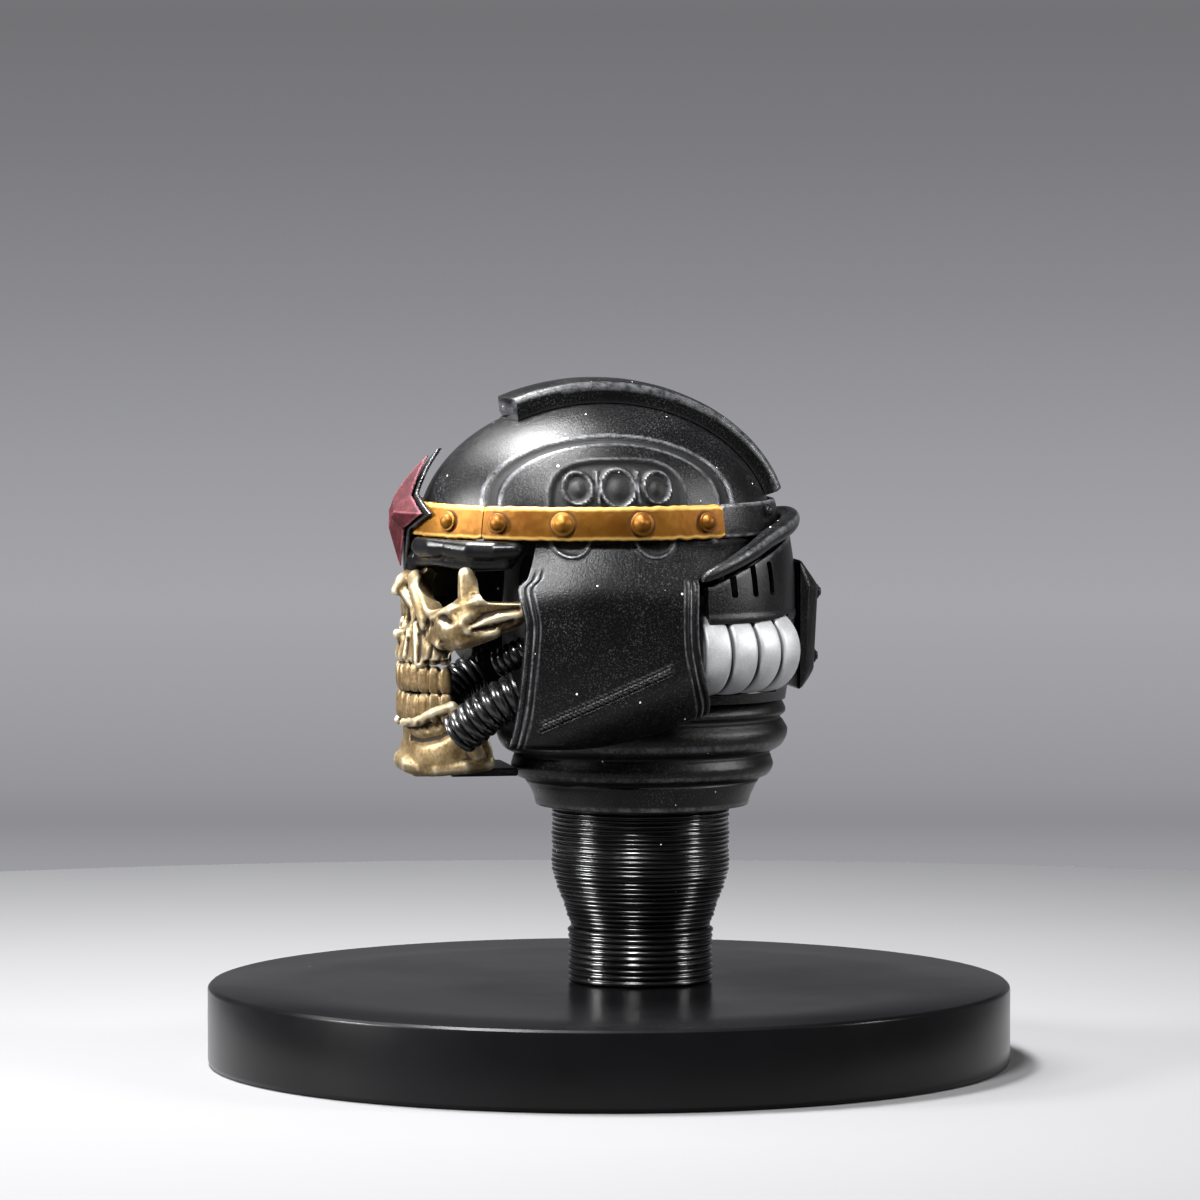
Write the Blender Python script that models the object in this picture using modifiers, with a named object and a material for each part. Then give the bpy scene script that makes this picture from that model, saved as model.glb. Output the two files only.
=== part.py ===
"""Miniature costume helmet with a skull face mask, on a ribbed post and a round base.

Frame: metres, +Z up, origin at the centre of the base's underside. The helmet faces -Y
and its wearer's left side is +X.
"""
import math

import bmesh
import bpy
from mathutils import Matrix, Vector

MM = 0.001

# Clearances between neighbouring pieces
GAP = 0.12 * MM
LOOSE = 0.35 * MM

# Stand
BASE_DIAMETER = 100 * MM
BASE_THICKNESS = 10 * MM
BASE_EDGE = 0.6 * MM
POST_Y = 4.0 * MM
POST_FOOT_DIAMETER = 18.0 * MM
POST_FOOT_HEIGHT = 7.2 * MM
POST_WAIST_DIAMETER = 17.2 * MM
POST_DIAMETER = 22.1 * MM
POST_CONE_HEIGHT = 6.5 * MM
POST_BARREL_HEIGHT = 9.6 * MM
POST_ROD_DIAMETER = 8.0 * MM
POST_PAD_DIAMETER = 11.0 * MM
POST_PAD_THICKNESS = 1.6 * MM

# Bowl: the upper half of an ellipsoid, open below
BOWL_Y = -1.75 * MM
BOWL_RIM_Z = 66.0 * MM
BOWL_WIDTH = 37.0 * MM
BOWL_DEPTH = 44.5 * MM
BOWL_HEIGHT = 17.0 * MM
WALL = 1.5 * MM

# Comb along the crown
COMB_WIDTH = 10.0 * MM
COMB_RISE = 2.6 * MM
COMB_CORNER = 0.7 * MM
COMB_FRONT_ANGLE = 120.0
COMB_BACK_ANGLE = 17.0

# Riveted band round the bowl
BAND_HEIGHT = 4.1 * MM
BAND_THICKNESS = 0.9 * MM
BAND_Z = 68.3 * MM
BAND_JOINT_ANGLE = 44.0
BAND_END_ANGLE = 124.0
BAND_REAR_THICKNESS = 0.55 * MM
RIVET_DIAMETER = 2.6 * MM
RIVET_RISE = 1.0 * MM
RIVET_ANGLES = (30.0, 50.0, 71.0, 95.0, 117.0)
REAR_RIVET_DIAMETER = 1.8 * MM
REAR_RIVET_ANGLE = 150.0

# Rolled lip round the nape
LIP_RADIUS = 1.25 * MM
LIP_TIP_RADIUS = 0.5 * MM
LIP_Z = 67.9 * MM
LIP_DROP = 6.2 * MM
LIP_ANGLE = 72.0

# Sides of the helmet below the band
SIDE_FLARE = 3.0 * MM
SIDE_REACH = 5.75 * MM
SIDE_WIDTH = BOWL_WIDTH + 2 * SIDE_FLARE
SIDE_DEPTH = BOWL_DEPTH + 2 * SIDE_REACH
SIDE_TOP = BAND_Z - 0.5 * BAND_HEIGHT + 1.0 * MM
SIDE_HEIGHT = 27.0 * MM
SIDE_UNDERCUT = 3.2 * MM

# Nape panel, its slots and the block on it
NAPE_INSET = 1.3 * MM
NAPE_PROUD = 2.4 * MM
NAPE_WIDTH = SIDE_WIDTH - 2 * (WALL + NAPE_INSET)
NAPE_BACK_Y = BOWL_Y + 0.5 * BOWL_DEPTH + NAPE_PROUD
NAPE_Y = 2.0 * MM
NAPE_TOP = 66.2 * MM
NAPE_HEIGHT = 20.7 * MM
SLOT_WIDTH = 0.9 * MM
SLOT_HEIGHT = 4.2 * MM
SLOT_Z = 61.0 * MM
SLOT_ANGLES = (44.0, 54.0, 64.0)
BLOCK_WIDTH = 9.0 * MM
BLOCK_DEPTH = 3.0 * MM
BLOCK_HEIGHT = 16.0 * MM
BLOCK_Z = 54.6 * MM
STUD_DIAMETER = 1.8 * MM

# Ribbed canisters in the nape panel
CAN_RADIUS = 5.3 * MM
CAN_GROOVE = 0.75 * MM
CAN_DISCS = 4
CAN_DISC_WIDTH = 3.15 * MM
CAN_Z = 52.0 * MM
CAN_PROUD = 0.9 * MM
CAN_START = Vector((0.5 * NAPE_WIDTH - CAN_RADIUS + CAN_PROUD, NAPE_Y + CAN_RADIUS, CAN_Z))
CAN_START_TURN = 10.0
CAN_END_TURN = 46.0

# Neck collar round the post
COLLAR_Y = 4.2 * MM
COLLAR_WIDTH = 28.4 * MM
COLLAR_DEPTH = 34.0 * MM
COLLAR_HEIGHT = 12.9 * MM
COLLAR_BOTTOM = 32.3 * MM
COLLAR_BORE = 24.2 * MM

# Face
FACE_INSET = 1.8 * MM
FACE_PROUD = 3.0 * MM
FACE_WIDTH = SIDE_WIDTH - 2 * (WALL + FACE_INSET)
FACE_FRONT = BOWL_Y - 0.5 * BOWL_DEPTH - FACE_PROUD
FACE_WALL = 1.7 * MM
MASK_TOP = 62.4 * MM
MASK_HEIGHT = 11.4 * MM
EYE_X = 8.9 * MM
EYE_Z = 60.8 * MM
EYE_WIDTH = 8.4 * MM
EYE_HEIGHT = 7.2 * MM
NOSE_Z = 56.3 * MM
NOSE_WIDTH = 5.0 * MM
NOSE_HEIGHT = 5.0 * MM
BROW_HEIGHT = 3.6 * MM
BROW_INSET = 1.3 * MM
BROW_WIDTH = BOWL_WIDTH - 2 * BROW_INSET
TEETH_UPPER_Z = 48.7 * MM
TEETH_UPPER_HEIGHT = 3.1 * MM
TEETH_LOWER_Z = 45.1 * MM
TEETH_LOWER_HEIGHT = 3.5 * MM
TEETH = 14
TOOTH_THICKNESS = 1.5 * MM
ARCH_WIDTH = 18.6 * MM
ARCH_DEPTH = 6.6 * MM
JAW_TOP = 43.05 * MM
JAW_HEIGHT = 6.9 * MM
JAW_WIDTH = 20.6 * MM
THROAT_WIDTH = 12.0 * MM
THROAT_THICKNESS = 1.0 * MM
LINER_SETBACK = 20.0 * MM
LINER_Y = FACE_FRONT + LINER_SETBACK
LINER_DEPTH = 5.5 * MM
LINER_CLEARANCE = 0.8 * MM
LINER_WALL = 1.2 * MM
LINER_BOTTOM = 46.2 * MM

# Breathing hoses
HOSE_RADIUS = 2.75 * MM
HOSE_RIB = 0.3 * MM
HOSE_RIBS = 9
UPPER_HOSE_RADIUS = 1.8 * MM
UPPER_HOSE_RIBS = 5

# Star badge on the brow
STAR_HEIGHT = 13.6 * MM
STAR_WIDTH = 13.2 * MM
STAR_NOTCH = 0.42
STAR_Z = 69.1 * MM
STAR_RISE = 1.2 * MM
STAR_BACKING = 0.5 * MM
STAR_BORDER = 0.9 * MM


def clear_scene():
    for obj in list(bpy.data.objects):
        bpy.data.objects.remove(obj, do_unlink=True)


def collection(name):
    made = bpy.data.collections.new(name)
    bpy.context.scene.collection.children.link(made)
    return made


clear_scene()
PARTS = collection("costume_helmet")
CUTTERS = collection("cutters")


def material(name, colour, roughness, metallic):
    if name in bpy.data.materials:
        return bpy.data.materials[name]
    made = bpy.data.materials.new(name)
    made.use_nodes = True
    shader = made.node_tree.nodes["Principled BSDF"]
    shader.inputs["Base Color"].default_value = (*colour, 1.0)
    shader.inputs["Roughness"].default_value = roughness
    shader.inputs["Metallic"].default_value = metallic
    return made


BLACK_SHELL = material("black_shell", (0.028, 0.029, 0.031), 0.42, 0.2)
BLACK_ACRYLIC = material("black_acrylic", (0.010, 0.010, 0.011), 0.33, 0.0)
BLACK_POST = material("black_post", (0.008, 0.008, 0.008), 0.2, 0.0)
BLACK_GLOSS = material("black_gloss", (0.010, 0.010, 0.011), 0.22, 0.0)
GOLD_PAINT = material("gold_paint", (0.63, 0.38, 0.12), 0.38, 0.8)
OLD_GOLD = material("old_gold", (0.42, 0.32, 0.17), 0.45, 0.5)
SILVER_PAINT = material("silver_paint", (0.66, 0.67, 0.68), 0.5, 0.6)
RED_PAINT = material("red_paint", (0.27, 0.06, 0.08), 0.6, 0.0)


def add_object(name, bm, surface, smooth_angle=40.0, target=PARTS):
    """Turn a finished bmesh into the named object of one sub-part."""
    bmesh.ops.recalc_face_normals(bm, faces=bm.faces)
    is_open = any(edge.is_boundary for edge in bm.edges)
    if not is_open and bm.calc_volume(signed=True) < 0.0:
        bmesh.ops.reverse_faces(bm, faces=bm.faces)
    mesh = bpy.data.meshes.new(name)
    bm.to_mesh(mesh)
    bm.free()
    mesh.shade_smooth()
    mesh.set_sharp_from_angle(angle=math.radians(smooth_angle))
    obj = bpy.data.objects.new(name, mesh)
    target.objects.link(obj)
    if surface:
        mesh.materials.append(surface)
    return obj


def solidify(obj, thickness):
    """Thicken an open surface inwards."""
    shell = obj.modifiers.new("wall", "SOLIDIFY")
    shell.thickness = thickness
    shell.offset = -1.0
    shell.use_even_offset = True
    return obj


def cut(obj, cutters):
    for cutter in cutters:
        hole = obj.modifiers.new("cut", "BOOLEAN")
        hole.operation = "DIFFERENCE"
        hole.object = cutter


def as_cutter(obj):
    obj.hide_render = True
    obj.display_type = "WIRE"
    return obj


def interpolate(table, column, at):
    """A smooth reading of one column of a table whose first column runs downwards."""
    keys = [row[0] for row in table]
    if at <= keys[0]:
        return table[0][column]
    for low, high in zip(table, table[1:]):
        if at <= high[0]:
            part = (at - low[0]) / (high[0] - low[0])
            return low[column] + (high[column] - low[column]) * part
    return table[-1][column]


def grid_surface(rows):
    """An open bmesh surface through rows of points, all rows of one length."""
    bm = bmesh.new()
    lines = [[bm.verts.new(point) for point in row] for row in rows]
    for upper, lower in zip(lines, lines[1:]):
        for i in range(len(upper) - 1):
            bm.faces.new((upper[i], upper[i + 1], lower[i + 1], lower[i]))
    return bm


def loft(rings, closed=False):
    """A closed bmesh skin through rings of points. Closed rings of rings make a torus."""
    bm = bmesh.new()
    loops = [[bm.verts.new(point) for point in ring] for ring in rings]
    pairs = list(zip(loops, loops[1:]))
    if closed:
        pairs.append((loops[-1], loops[0]))
    else:
        bm.faces.new(list(reversed(loops[0])))
        bm.faces.new(loops[-1])
    for first, second in pairs:
        count = len(first)
        for i in range(count):
            j = (i + 1) % count
            bm.faces.new((first[i], first[j], second[j], second[i]))
    return bm


def mirrored(obj, name):
    """The right-hand copy of a left-hand piece, as an object of its own."""
    bpy.context.view_layer.update()
    depsgraph = bpy.context.evaluated_depsgraph_get()
    mesh = bpy.data.meshes.new_from_object(obj.evaluated_get(depsgraph))
    mesh.name = name
    mesh.transform(Matrix.Diagonal((-1.0, 1.0, 1.0, 1.0)))
    mesh.flip_normals()
    copy = bpy.data.objects.new(name, mesh)
    PARTS.objects.link(copy)
    return copy


def bowl_point(x, angle, lift):
    """A point over the bowl at width x, angle degrees from +Y up round the X axis."""
    side = 1.0 - (x / (0.5 * BOWL_WIDTH + lift)) ** 2
    reach = math.sqrt(max(side, 0.0))
    turn = math.radians(angle)
    y = BOWL_Y + (0.5 * BOWL_DEPTH + lift) * math.cos(turn) * reach
    z = BOWL_RIM_Z + (BOWL_HEIGHT + lift) * math.sin(turn) * reach
    return Vector((x, y, z))


def bowl_plan(angle, z, lift):
    """A point round the bowl, angle degrees from the front (-Y) towards +X, at height z."""
    rise = max(z - BOWL_RIM_Z, 0.0) / (BOWL_HEIGHT + lift)
    reach = math.sqrt(1.0 - rise * rise)
    turn = math.radians(angle)
    x = (0.5 * BOWL_WIDTH + lift) * math.sin(turn) * reach
    y = BOWL_Y - (0.5 * BOWL_DEPTH + lift) * math.cos(turn) * reach
    return Vector((x, y, z))


# Sections of the sides: share of SIDE_HEIGHT below SIDE_TOP, share of SIDE_FLARE,
# share of SIDE_REACH, roundness of the plan (2 is an ellipse)
SIDE_SECTIONS = (
    (0.00, -0.03, -0.02, 2.00),
    (0.05, -0.02, -0.01, 2.00),
    (0.10, 0.20, 0.16, 2.10),
    (0.20, 0.64, 0.51, 2.25),
    (0.29, 0.93, 0.78, 2.40),
    (0.38, 1.00, 0.90, 2.50),
    (0.65, 0.92, 1.00, 2.50),
    (1.00, 0.46, 0.86, 2.50),
)

# Lower edge of the cheek plate: lift of its rear end and sag of its middle, as shares
# of SIDE_HEIGHT
SIDE_REAR_LIFT = 0.13
SIDE_SAG = 0.065

# Edges of the cheek plate: share of SIDE_HEIGHT, front edge and rear edge as shares of
# half the SIDE_DEPTH, measured from BOWL_Y
SIDE_EDGES = (
    (0.000, -0.350, 0.760),
    (0.060, -0.375, 0.655),
    (0.120, -0.395, 0.545),
    (0.175, -0.415, 0.430),
    (0.210, -0.432, 0.330),
    (0.245, -0.466, 0.322),
    (0.310, -0.462, 0.317),
    (0.410, -0.446, 0.314),
    (0.550, -0.454, 0.320),
    (0.680, -0.464, 0.342),
    (0.780, -0.474, 0.366),
    (0.880, -0.488, 0.392),
    (0.970, -0.506, 0.400),
)


def side_section(z):
    """Half width, half depth and roundness of the helmet's plan at a height below the band."""
    share = (SIDE_TOP - z) / SIDE_HEIGHT
    half = 0.5 * BOWL_WIDTH + SIDE_FLARE * interpolate(SIDE_SECTIONS, 1, share)
    reach = 0.5 * BOWL_DEPTH + SIDE_REACH * interpolate(SIDE_SECTIONS, 2, share)
    return half, reach, interpolate(SIDE_SECTIONS, 3, share)


def side_x(y, z):
    """Half the helmet's outer width below the band, at depth y and height z."""
    half, reach, power = side_section(z)
    run = min(abs(y - BOWL_Y) / reach, 1.0)
    return half * (1.0 - run ** power) ** (1.0 / power)


def undercut(y, z):
    """How far the side turns in under its slanting lower line."""
    front = BOWL_Y - 0.46 * 0.5 * SIDE_DEPTH
    run = (y - front) / (0.75 * 0.5 * SIDE_DEPTH)
    line = SIDE_TOP - SIDE_HEIGHT * (0.955 - 0.34 * run)
    below = max(line - z, 0.0) / (0.24 * SIDE_HEIGHT)
    return SIDE_UNDERCUT * min(below * below, 1.6)


def make_base():
    """Round black base with a fine chamfer."""
    bm = bmesh.new()
    bmesh.ops.create_cone(bm, cap_ends=True, segments=60, radius1=0.5 * BASE_DIAMETER,
                          radius2=0.5 * BASE_DIAMETER, depth=BASE_THICKNESS,
                          matrix=Matrix.Translation((0, 0, 0.5 * BASE_THICKNESS)))
    base = add_object("stand_base", bm, BLACK_ACRYLIC)
    edge = base.modifiers.new("edge", "BEVEL")
    edge.width = BASE_EDGE
    edge.segments = 1
    edge.limit_method = "ANGLE"
    edge.angle_limit = math.radians(60)
    return base


def turned(name, profile, centre_y, surface, steps=28):
    """A solid of revolution about a vertical axis, profile as (radius, z) top to bottom."""
    bm = bmesh.new()
    points = [bm.verts.new((radius, 0.0, z)) for radius, z in profile]
    for upper, lower in zip(points, points[1:]):
        bm.edges.new((upper, lower))
    mesh = bpy.data.meshes.new(name)
    bm.to_mesh(mesh)
    bm.free()
    mesh.materials.append(surface)
    obj = bpy.data.objects.new(name, mesh)
    PARTS.objects.link(obj)
    obj.location = (0.0, centre_y, 0.0)
    spin = obj.modifiers.new("turn", "SCREW")
    spin.steps = steps
    spin.render_steps = steps
    spin.use_merge_vertices = True
    spin.merge_threshold = 0.1 * GAP
    return obj


def make_post():
    """Turned post: foot, waist, cone and barrel, then a plain rod to a pad in the crown."""
    foot_z = BASE_THICKNESS + GAP
    waist_z = foot_z + POST_FOOT_HEIGHT
    barrel_z = waist_z + POST_CONE_HEIGHT
    top_z = barrel_z + POST_BARREL_HEIGHT
    pad = 0.5 * POST_PAD_DIAMETER
    reach = (abs(POST_Y - BOWL_Y) + pad) / (0.5 * BOWL_DEPTH - WALL)
    pad_z = BOWL_RIM_Z + (BOWL_HEIGHT - WALL) * math.sqrt(1.0 - reach * reach) - LOOSE
    rod = 0.5 * POST_ROD_DIAMETER
    foot = 0.5 * POST_FOOT_DIAMETER
    profile = (
        (0.0, pad_z),
        (pad, pad_z),
        (pad, pad_z - POST_PAD_THICKNESS),
        (rod, pad_z - 1.8 * POST_PAD_THICKNESS),
        (rod, top_z),
        (0.5 * POST_DIAMETER, top_z),
        (0.5 * POST_DIAMETER, barrel_z),
        (0.5 * POST_WAIST_DIAMETER, waist_z),
        (foot, waist_z - 0.06 * POST_FOOT_HEIGHT),
        (foot, foot_z),
        (0.0, foot_z),
    )
    return turned("stand_post", profile, POST_Y, BLACK_POST)


def make_bowl():
    """Hollow half ellipsoid, open below."""
    bm = bmesh.new()
    bmesh.ops.create_uvsphere(bm, u_segments=28, v_segments=16, radius=1.0)
    low = [face for face in bm.faces if face.calc_center_median().z < 0.0]
    bmesh.ops.delete(bm, geom=low, context="FACES")
    joint = (SIDE_TOP + LOOSE - BOWL_RIM_Z) / BOWL_HEIGHT
    for vert in bm.verts:
        if vert.co.z < joint:
            flat = math.sqrt(1.0 - joint * joint) / math.hypot(vert.co.x, vert.co.y)
            vert.co = (vert.co.x * flat, vert.co.y * flat, joint)
    size = Matrix.Diagonal((0.5 * BOWL_WIDTH, 0.5 * BOWL_DEPTH, BOWL_HEIGHT, 1.0))
    bm.transform(Matrix.Translation((0, BOWL_Y, BOWL_RIM_Z)) @ size)
    bowl = add_object("bowl", bm, BLACK_SHELL)
    return solidify(bowl, WALL)


def make_comb():
    """Raised comb from the brow over the crown to the nape."""
    steps = 16
    half = 0.5 * COMB_WIDTH
    rings = []
    for i in range(steps + 1):
        along = i / steps
        angle = COMB_FRONT_ANGLE + (COMB_BACK_ANGLE - COMB_FRONT_ANGLE) * along
        ends = min(along, 1.0 - along) * steps
        rise = COMB_RISE * (1.0 - 0.18 * along) * (0.55 if ends < 0.5 else 1.0)
        inner = [bowl_point(x, angle, GAP) for x in (half, 0.5 * half, 0, -0.5 * half, -half)]
        outer = [bowl_point(x, angle, lift) for x, lift in (
            (-half, rise - COMB_CORNER), (-half + COMB_CORNER, rise), (0.0, rise),
            (half - COMB_CORNER, rise), (half, rise - COMB_CORNER))]
        rings.append(inner + outer)
    return add_object("comb", loft(rings), BLACK_SHELL, 30)


def band_piece(name, start, end, thickness, surface, steps):
    """A flat strip round the bowl between two plan angles from the front."""
    low = BAND_Z - 0.5 * BAND_HEIGHT
    high = BAND_Z + 0.5 * BAND_HEIGHT
    seat = GAP + 0.15 * MM
    soft = 0.25 * thickness
    rings = []
    for i in range(steps + 1):
        angle = start + (end - start) * i / steps
        section = ((low, seat), (low, thickness - soft), (low + soft, thickness),
                   (BAND_Z, thickness), (high - soft, thickness), (high, thickness - soft),
                   (high, seat))
        rings.append([bowl_plan(angle, z, lift if z > low or lift > seat else seat)
                      for z, lift in section])
    return add_object(name, loft(rings), surface, 30)


def make_band():
    """Gold front strip, two gold side strips and a black strip round the back."""
    joint = 0.4
    thick = GAP + 0.15 * MM + BAND_THICKNESS
    band_piece("band_front", -BAND_JOINT_ANGLE, BAND_JOINT_ANGLE, thick, GOLD_PAINT, 14)
    left = band_piece("band_left", BAND_JOINT_ANGLE + joint, BAND_END_ANGLE, thick,
                      GOLD_PAINT, 12)
    mirrored(left, "band_right")
    band_piece("band_rear", BAND_END_ANGLE + joint, 360 - BAND_END_ANGLE - joint,
               GAP + 0.15 * MM + BAND_REAR_THICKNESS, BLACK_SHELL, 16)


def rivet(name, angle, z, seat, diameter, surface):
    """A low domed rivet standing on the band."""
    bm = bmesh.new()
    bmesh.ops.create_uvsphere(bm, u_segments=8, v_segments=4, radius=1.0)
    low = [face for face in bm.faces if face.calc_center_median().z < 0.0]
    bmesh.ops.delete(bm, geom=low, context="FACES")
    rim = [edge for edge in bm.edges if edge.is_boundary]
    bmesh.ops.edgeloop_fill(bm, edges=rim)
    half = 0.5 * diameter
    rise = RIVET_RISE * diameter / RIVET_DIAMETER
    bm.transform(Matrix.Diagonal((half, half, rise, 1.0)))
    foot = bowl_plan(angle, z, seat)
    out = Vector((foot.x / (0.5 * BOWL_WIDTH) ** 2,
                  (foot.y - BOWL_Y) / (0.5 * BOWL_DEPTH) ** 2,
                  (foot.z - BOWL_RIM_Z) / BOWL_HEIGHT ** 2)).normalized()
    turn = out.to_track_quat("Z", "Y").to_matrix().to_4x4()
    bm.transform(Matrix.Translation(foot + out * GAP) @ turn)
    return add_object(name, bm, surface)


def make_rivets():
    """Rivets of the gold band, and one at each end of the black rear strip."""
    gold_seat = 2 * GAP + 0.15 * MM + BAND_THICKNESS
    black_seat = 2 * GAP + 0.15 * MM + BAND_REAR_THICKNESS
    for i, angle in enumerate(RIVET_ANGLES, start=1):
        left = rivet(f"rivet_left_{i}", angle, BAND_Z, gold_seat, RIVET_DIAMETER, GOLD_PAINT)
        mirrored(left, f"rivet_right_{i}")
    rear = rivet("rivet_rear_left", REAR_RIVET_ANGLE, BAND_Z + 0.2 * BAND_HEIGHT, black_seat,
                 REAR_RIVET_DIAMETER, BLACK_SHELL)
    mirrored(rear, "rivet_rear_right")


def make_cheek_plates():
    """Cheek plates: the helmet's sides below the band, with a wing to the nape."""
    columns = 8
    rows = []
    levels = 12
    last = SIDE_EDGES[-1][0]
    for i in range(levels + 1):
        share = last * (i / levels) ** 1.15
        z = SIDE_TOP - SIDE_HEIGHT * share
        front = BOWL_Y + 0.5 * SIDE_DEPTH * interpolate(SIDE_EDGES, 1, share)
        rear = BOWL_Y + 0.5 * SIDE_DEPTH * interpolate(SIDE_EDGES, 2, share)
        row = []
        for j in range(columns + 1):
            along = j / columns
            y = front + (rear - front) * along
            low = SIDE_HEIGHT * (share / last) ** 3
            deep = z + low * (SIDE_REAR_LIFT * along - SIDE_SAG * math.sin(math.pi * along))
            row.append((side_x(y, deep) - undercut(y, deep), y, deep))
        rows.append(row)
    plate = add_object("cheek_plate_left", grid_surface(rows), BLACK_SHELL)
    solidify(plate, WALL)
    mirrored(plate, "cheek_plate_right")


def lip_point(angle, radius):
    """Centre of the lip, angle degrees from the back (+Y) towards +X."""
    turn = math.radians(angle)
    z = LIP_Z - LIP_DROP * (abs(angle) / LIP_ANGLE) ** 1.7
    half, reach, roundness = side_section(z)
    power = 2.0 / roundness
    x = math.copysign(abs(math.sin(turn)) ** power, turn)
    y = math.cos(turn) ** power
    out = Vector((x / half, y / reach, 0.0)).normalized()
    seat = BAND_REAR_THICKNESS + 3 * GAP + radius
    return Vector((x * half, BOWL_Y + y * reach, z)) + out * seat


def make_lip():
    """Rolled lip round the nape, thinning to a point at each cheek plate."""
    curve = bpy.data.curves.new("nape_lip", "CURVE")
    curve.dimensions = "3D"
    curve.bevel_depth = LIP_RADIUS
    curve.bevel_resolution = 2
    curve.use_fill_caps = True
    steps = 28
    spline = curve.splines.new("POLY")
    spline.points.add(steps)
    for i, point in enumerate(spline.points):
        angle = LIP_ANGLE * (2.0 * i / steps - 1.0)
        taper = math.sqrt(max(1.0 - (abs(angle) / LIP_ANGLE) ** 3, 0.0))
        radius = LIP_TIP_RADIUS + (LIP_RADIUS - LIP_TIP_RADIUS) * taper
        point.co = (*lip_point(angle, radius), 1.0)
        point.radius = radius / LIP_RADIUS
    lip = bpy.data.objects.new("nape_lip", curve)
    curve.materials.append(BLACK_SHELL)
    PARTS.objects.link(lip)


# Sections of the nape panel: share of NAPE_HEIGHT below NAPE_TOP, share of NAPE_WIDTH,
# share of the panel's reach behind NAPE_Y
NAPE_SECTIONS = (
    (0.00, 0.850, 0.975),
    (0.20, 0.940, 1.000),
    (0.50, 0.985, 1.000),
    (0.75, 0.955, 0.985),
    (1.00, 0.780, 0.955),
)


def nape_point(angle, z, inset=0.0):
    """A point on the nape panel, angle degrees from the back (+Y) towards +X."""
    share = (NAPE_TOP - z) / NAPE_HEIGHT
    half = 0.5 * NAPE_WIDTH * interpolate(NAPE_SECTIONS, 1, share) - inset
    reach = (NAPE_BACK_Y - NAPE_Y) * interpolate(NAPE_SECTIONS, 2, share) - inset
    turn = math.radians(angle)
    power = 2.0 / 2.35
    x = math.copysign(abs(math.sin(turn)) ** power, turn)
    y = abs(math.cos(turn)) ** power
    return Vector((x * half, NAPE_Y + y * reach, z))


def can_station(along):
    """Centre and direction of the canister's axis, along from 0 to 1."""
    length = CAN_DISCS * CAN_DISC_WIDTH
    steps = 20
    here = CAN_START.copy()
    for i in range(steps):
        part = along * (i + 0.5) / steps
        turn = math.radians(CAN_START_TURN + (CAN_END_TURN - CAN_START_TURN) * part)
        here = here + Vector((-math.sin(turn), math.cos(turn), 0)) * length * along / steps
    turn = math.radians(CAN_START_TURN + (CAN_END_TURN - CAN_START_TURN) * along)
    return here, Vector((-math.sin(turn), math.cos(turn), 0))


def tube_ring(centre, along, radius, count):
    """Points round a tube's axis."""
    side = along.cross(Vector((0, 0, 1))).normalized()
    up = side.cross(along).normalized()
    ring = []
    for i in range(count):
        turn = 2 * math.pi * i / count
        ring.append(centre + (side * math.cos(turn) + up * math.sin(turn)) * radius)
    return ring


def can_rings(extra, count):
    """Rings of the canister, each disc bulging between grooves."""
    shape = ((0.03, 1.0), (0.2, 0.15), (0.8, 0.15), (0.97, 1.0))
    rings = []
    for disc in range(CAN_DISCS):
        for share, depth in shape:
            if extra:
                share = 1.04 * share - 0.02
            centre, along = can_station((disc + share) / CAN_DISCS)
            radius = CAN_RADIUS + extra - (0.0 if extra else CAN_GROOVE * depth)
            rings.append(tube_ring(centre, along, radius, count))
    return rings


def make_nape():
    """Nape panel with slots and a window on each side, where a ribbed canister sits."""
    columns = 22
    levels = 3
    edge = 74.0
    rows = []
    for i in range(levels + 1):
        row = []
        for j in range(columns + 1):
            angle = edge * (2.0 * j / columns - 1.0)
            lip_z = LIP_Z - LIP_DROP * min(abs(angle) / LIP_ANGLE, 1.0) ** 1.7
            top = min(NAPE_TOP, lip_z - LIP_RADIUS - GAP)
            bottom = NAPE_TOP - NAPE_HEIGHT
            z = top + (bottom - top) * i / levels
            row.append(nape_point(angle, z))
        rows.append(row)
    nape = add_object("nape_panel", grid_surface(rows), BLACK_SHELL)
    for face in nape.data.polygons[:1]:
        if face.normal.y < 0:
            nape.data.flip_normals()
    solidify(nape, WALL)

    can = add_object("canister_left", loft(can_rings(0.0, 14)), SILVER_PAINT, 50)
    mirrored(can, "canister_right")
    for side in (1, -1):
        window = loft(can_rings(GAP, 14))
        if side < 0:
            bmesh.ops.transform(window, matrix=Matrix.Diagonal((-1, 1, 1, 1)),
                                verts=window.verts)
        opening = as_cutter(add_object(f"window_{side}", window, None, target=CUTTERS))
        cut(nape, [opening])
        for angle in SLOT_ANGLES:
            slot = bmesh.new()
            bmesh.ops.create_cube(slot, size=1.0)
            place = nape_point(angle * side, SLOT_Z)
            turn = math.atan2(place.x, place.y - NAPE_Y)
            bmesh.ops.transform(slot, verts=slot.verts, matrix=Matrix.Translation(place)
                                @ Matrix.Rotation(-turn, 4, "Z")
                                @ Matrix.Diagonal((SLOT_WIDTH, 6 * WALL, SLOT_HEIGHT, 1)))
            cut(nape, [as_cutter(add_object(f"slot_{side}_{angle:.0f}", slot, None,
                                            target=CUTTERS))])


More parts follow.
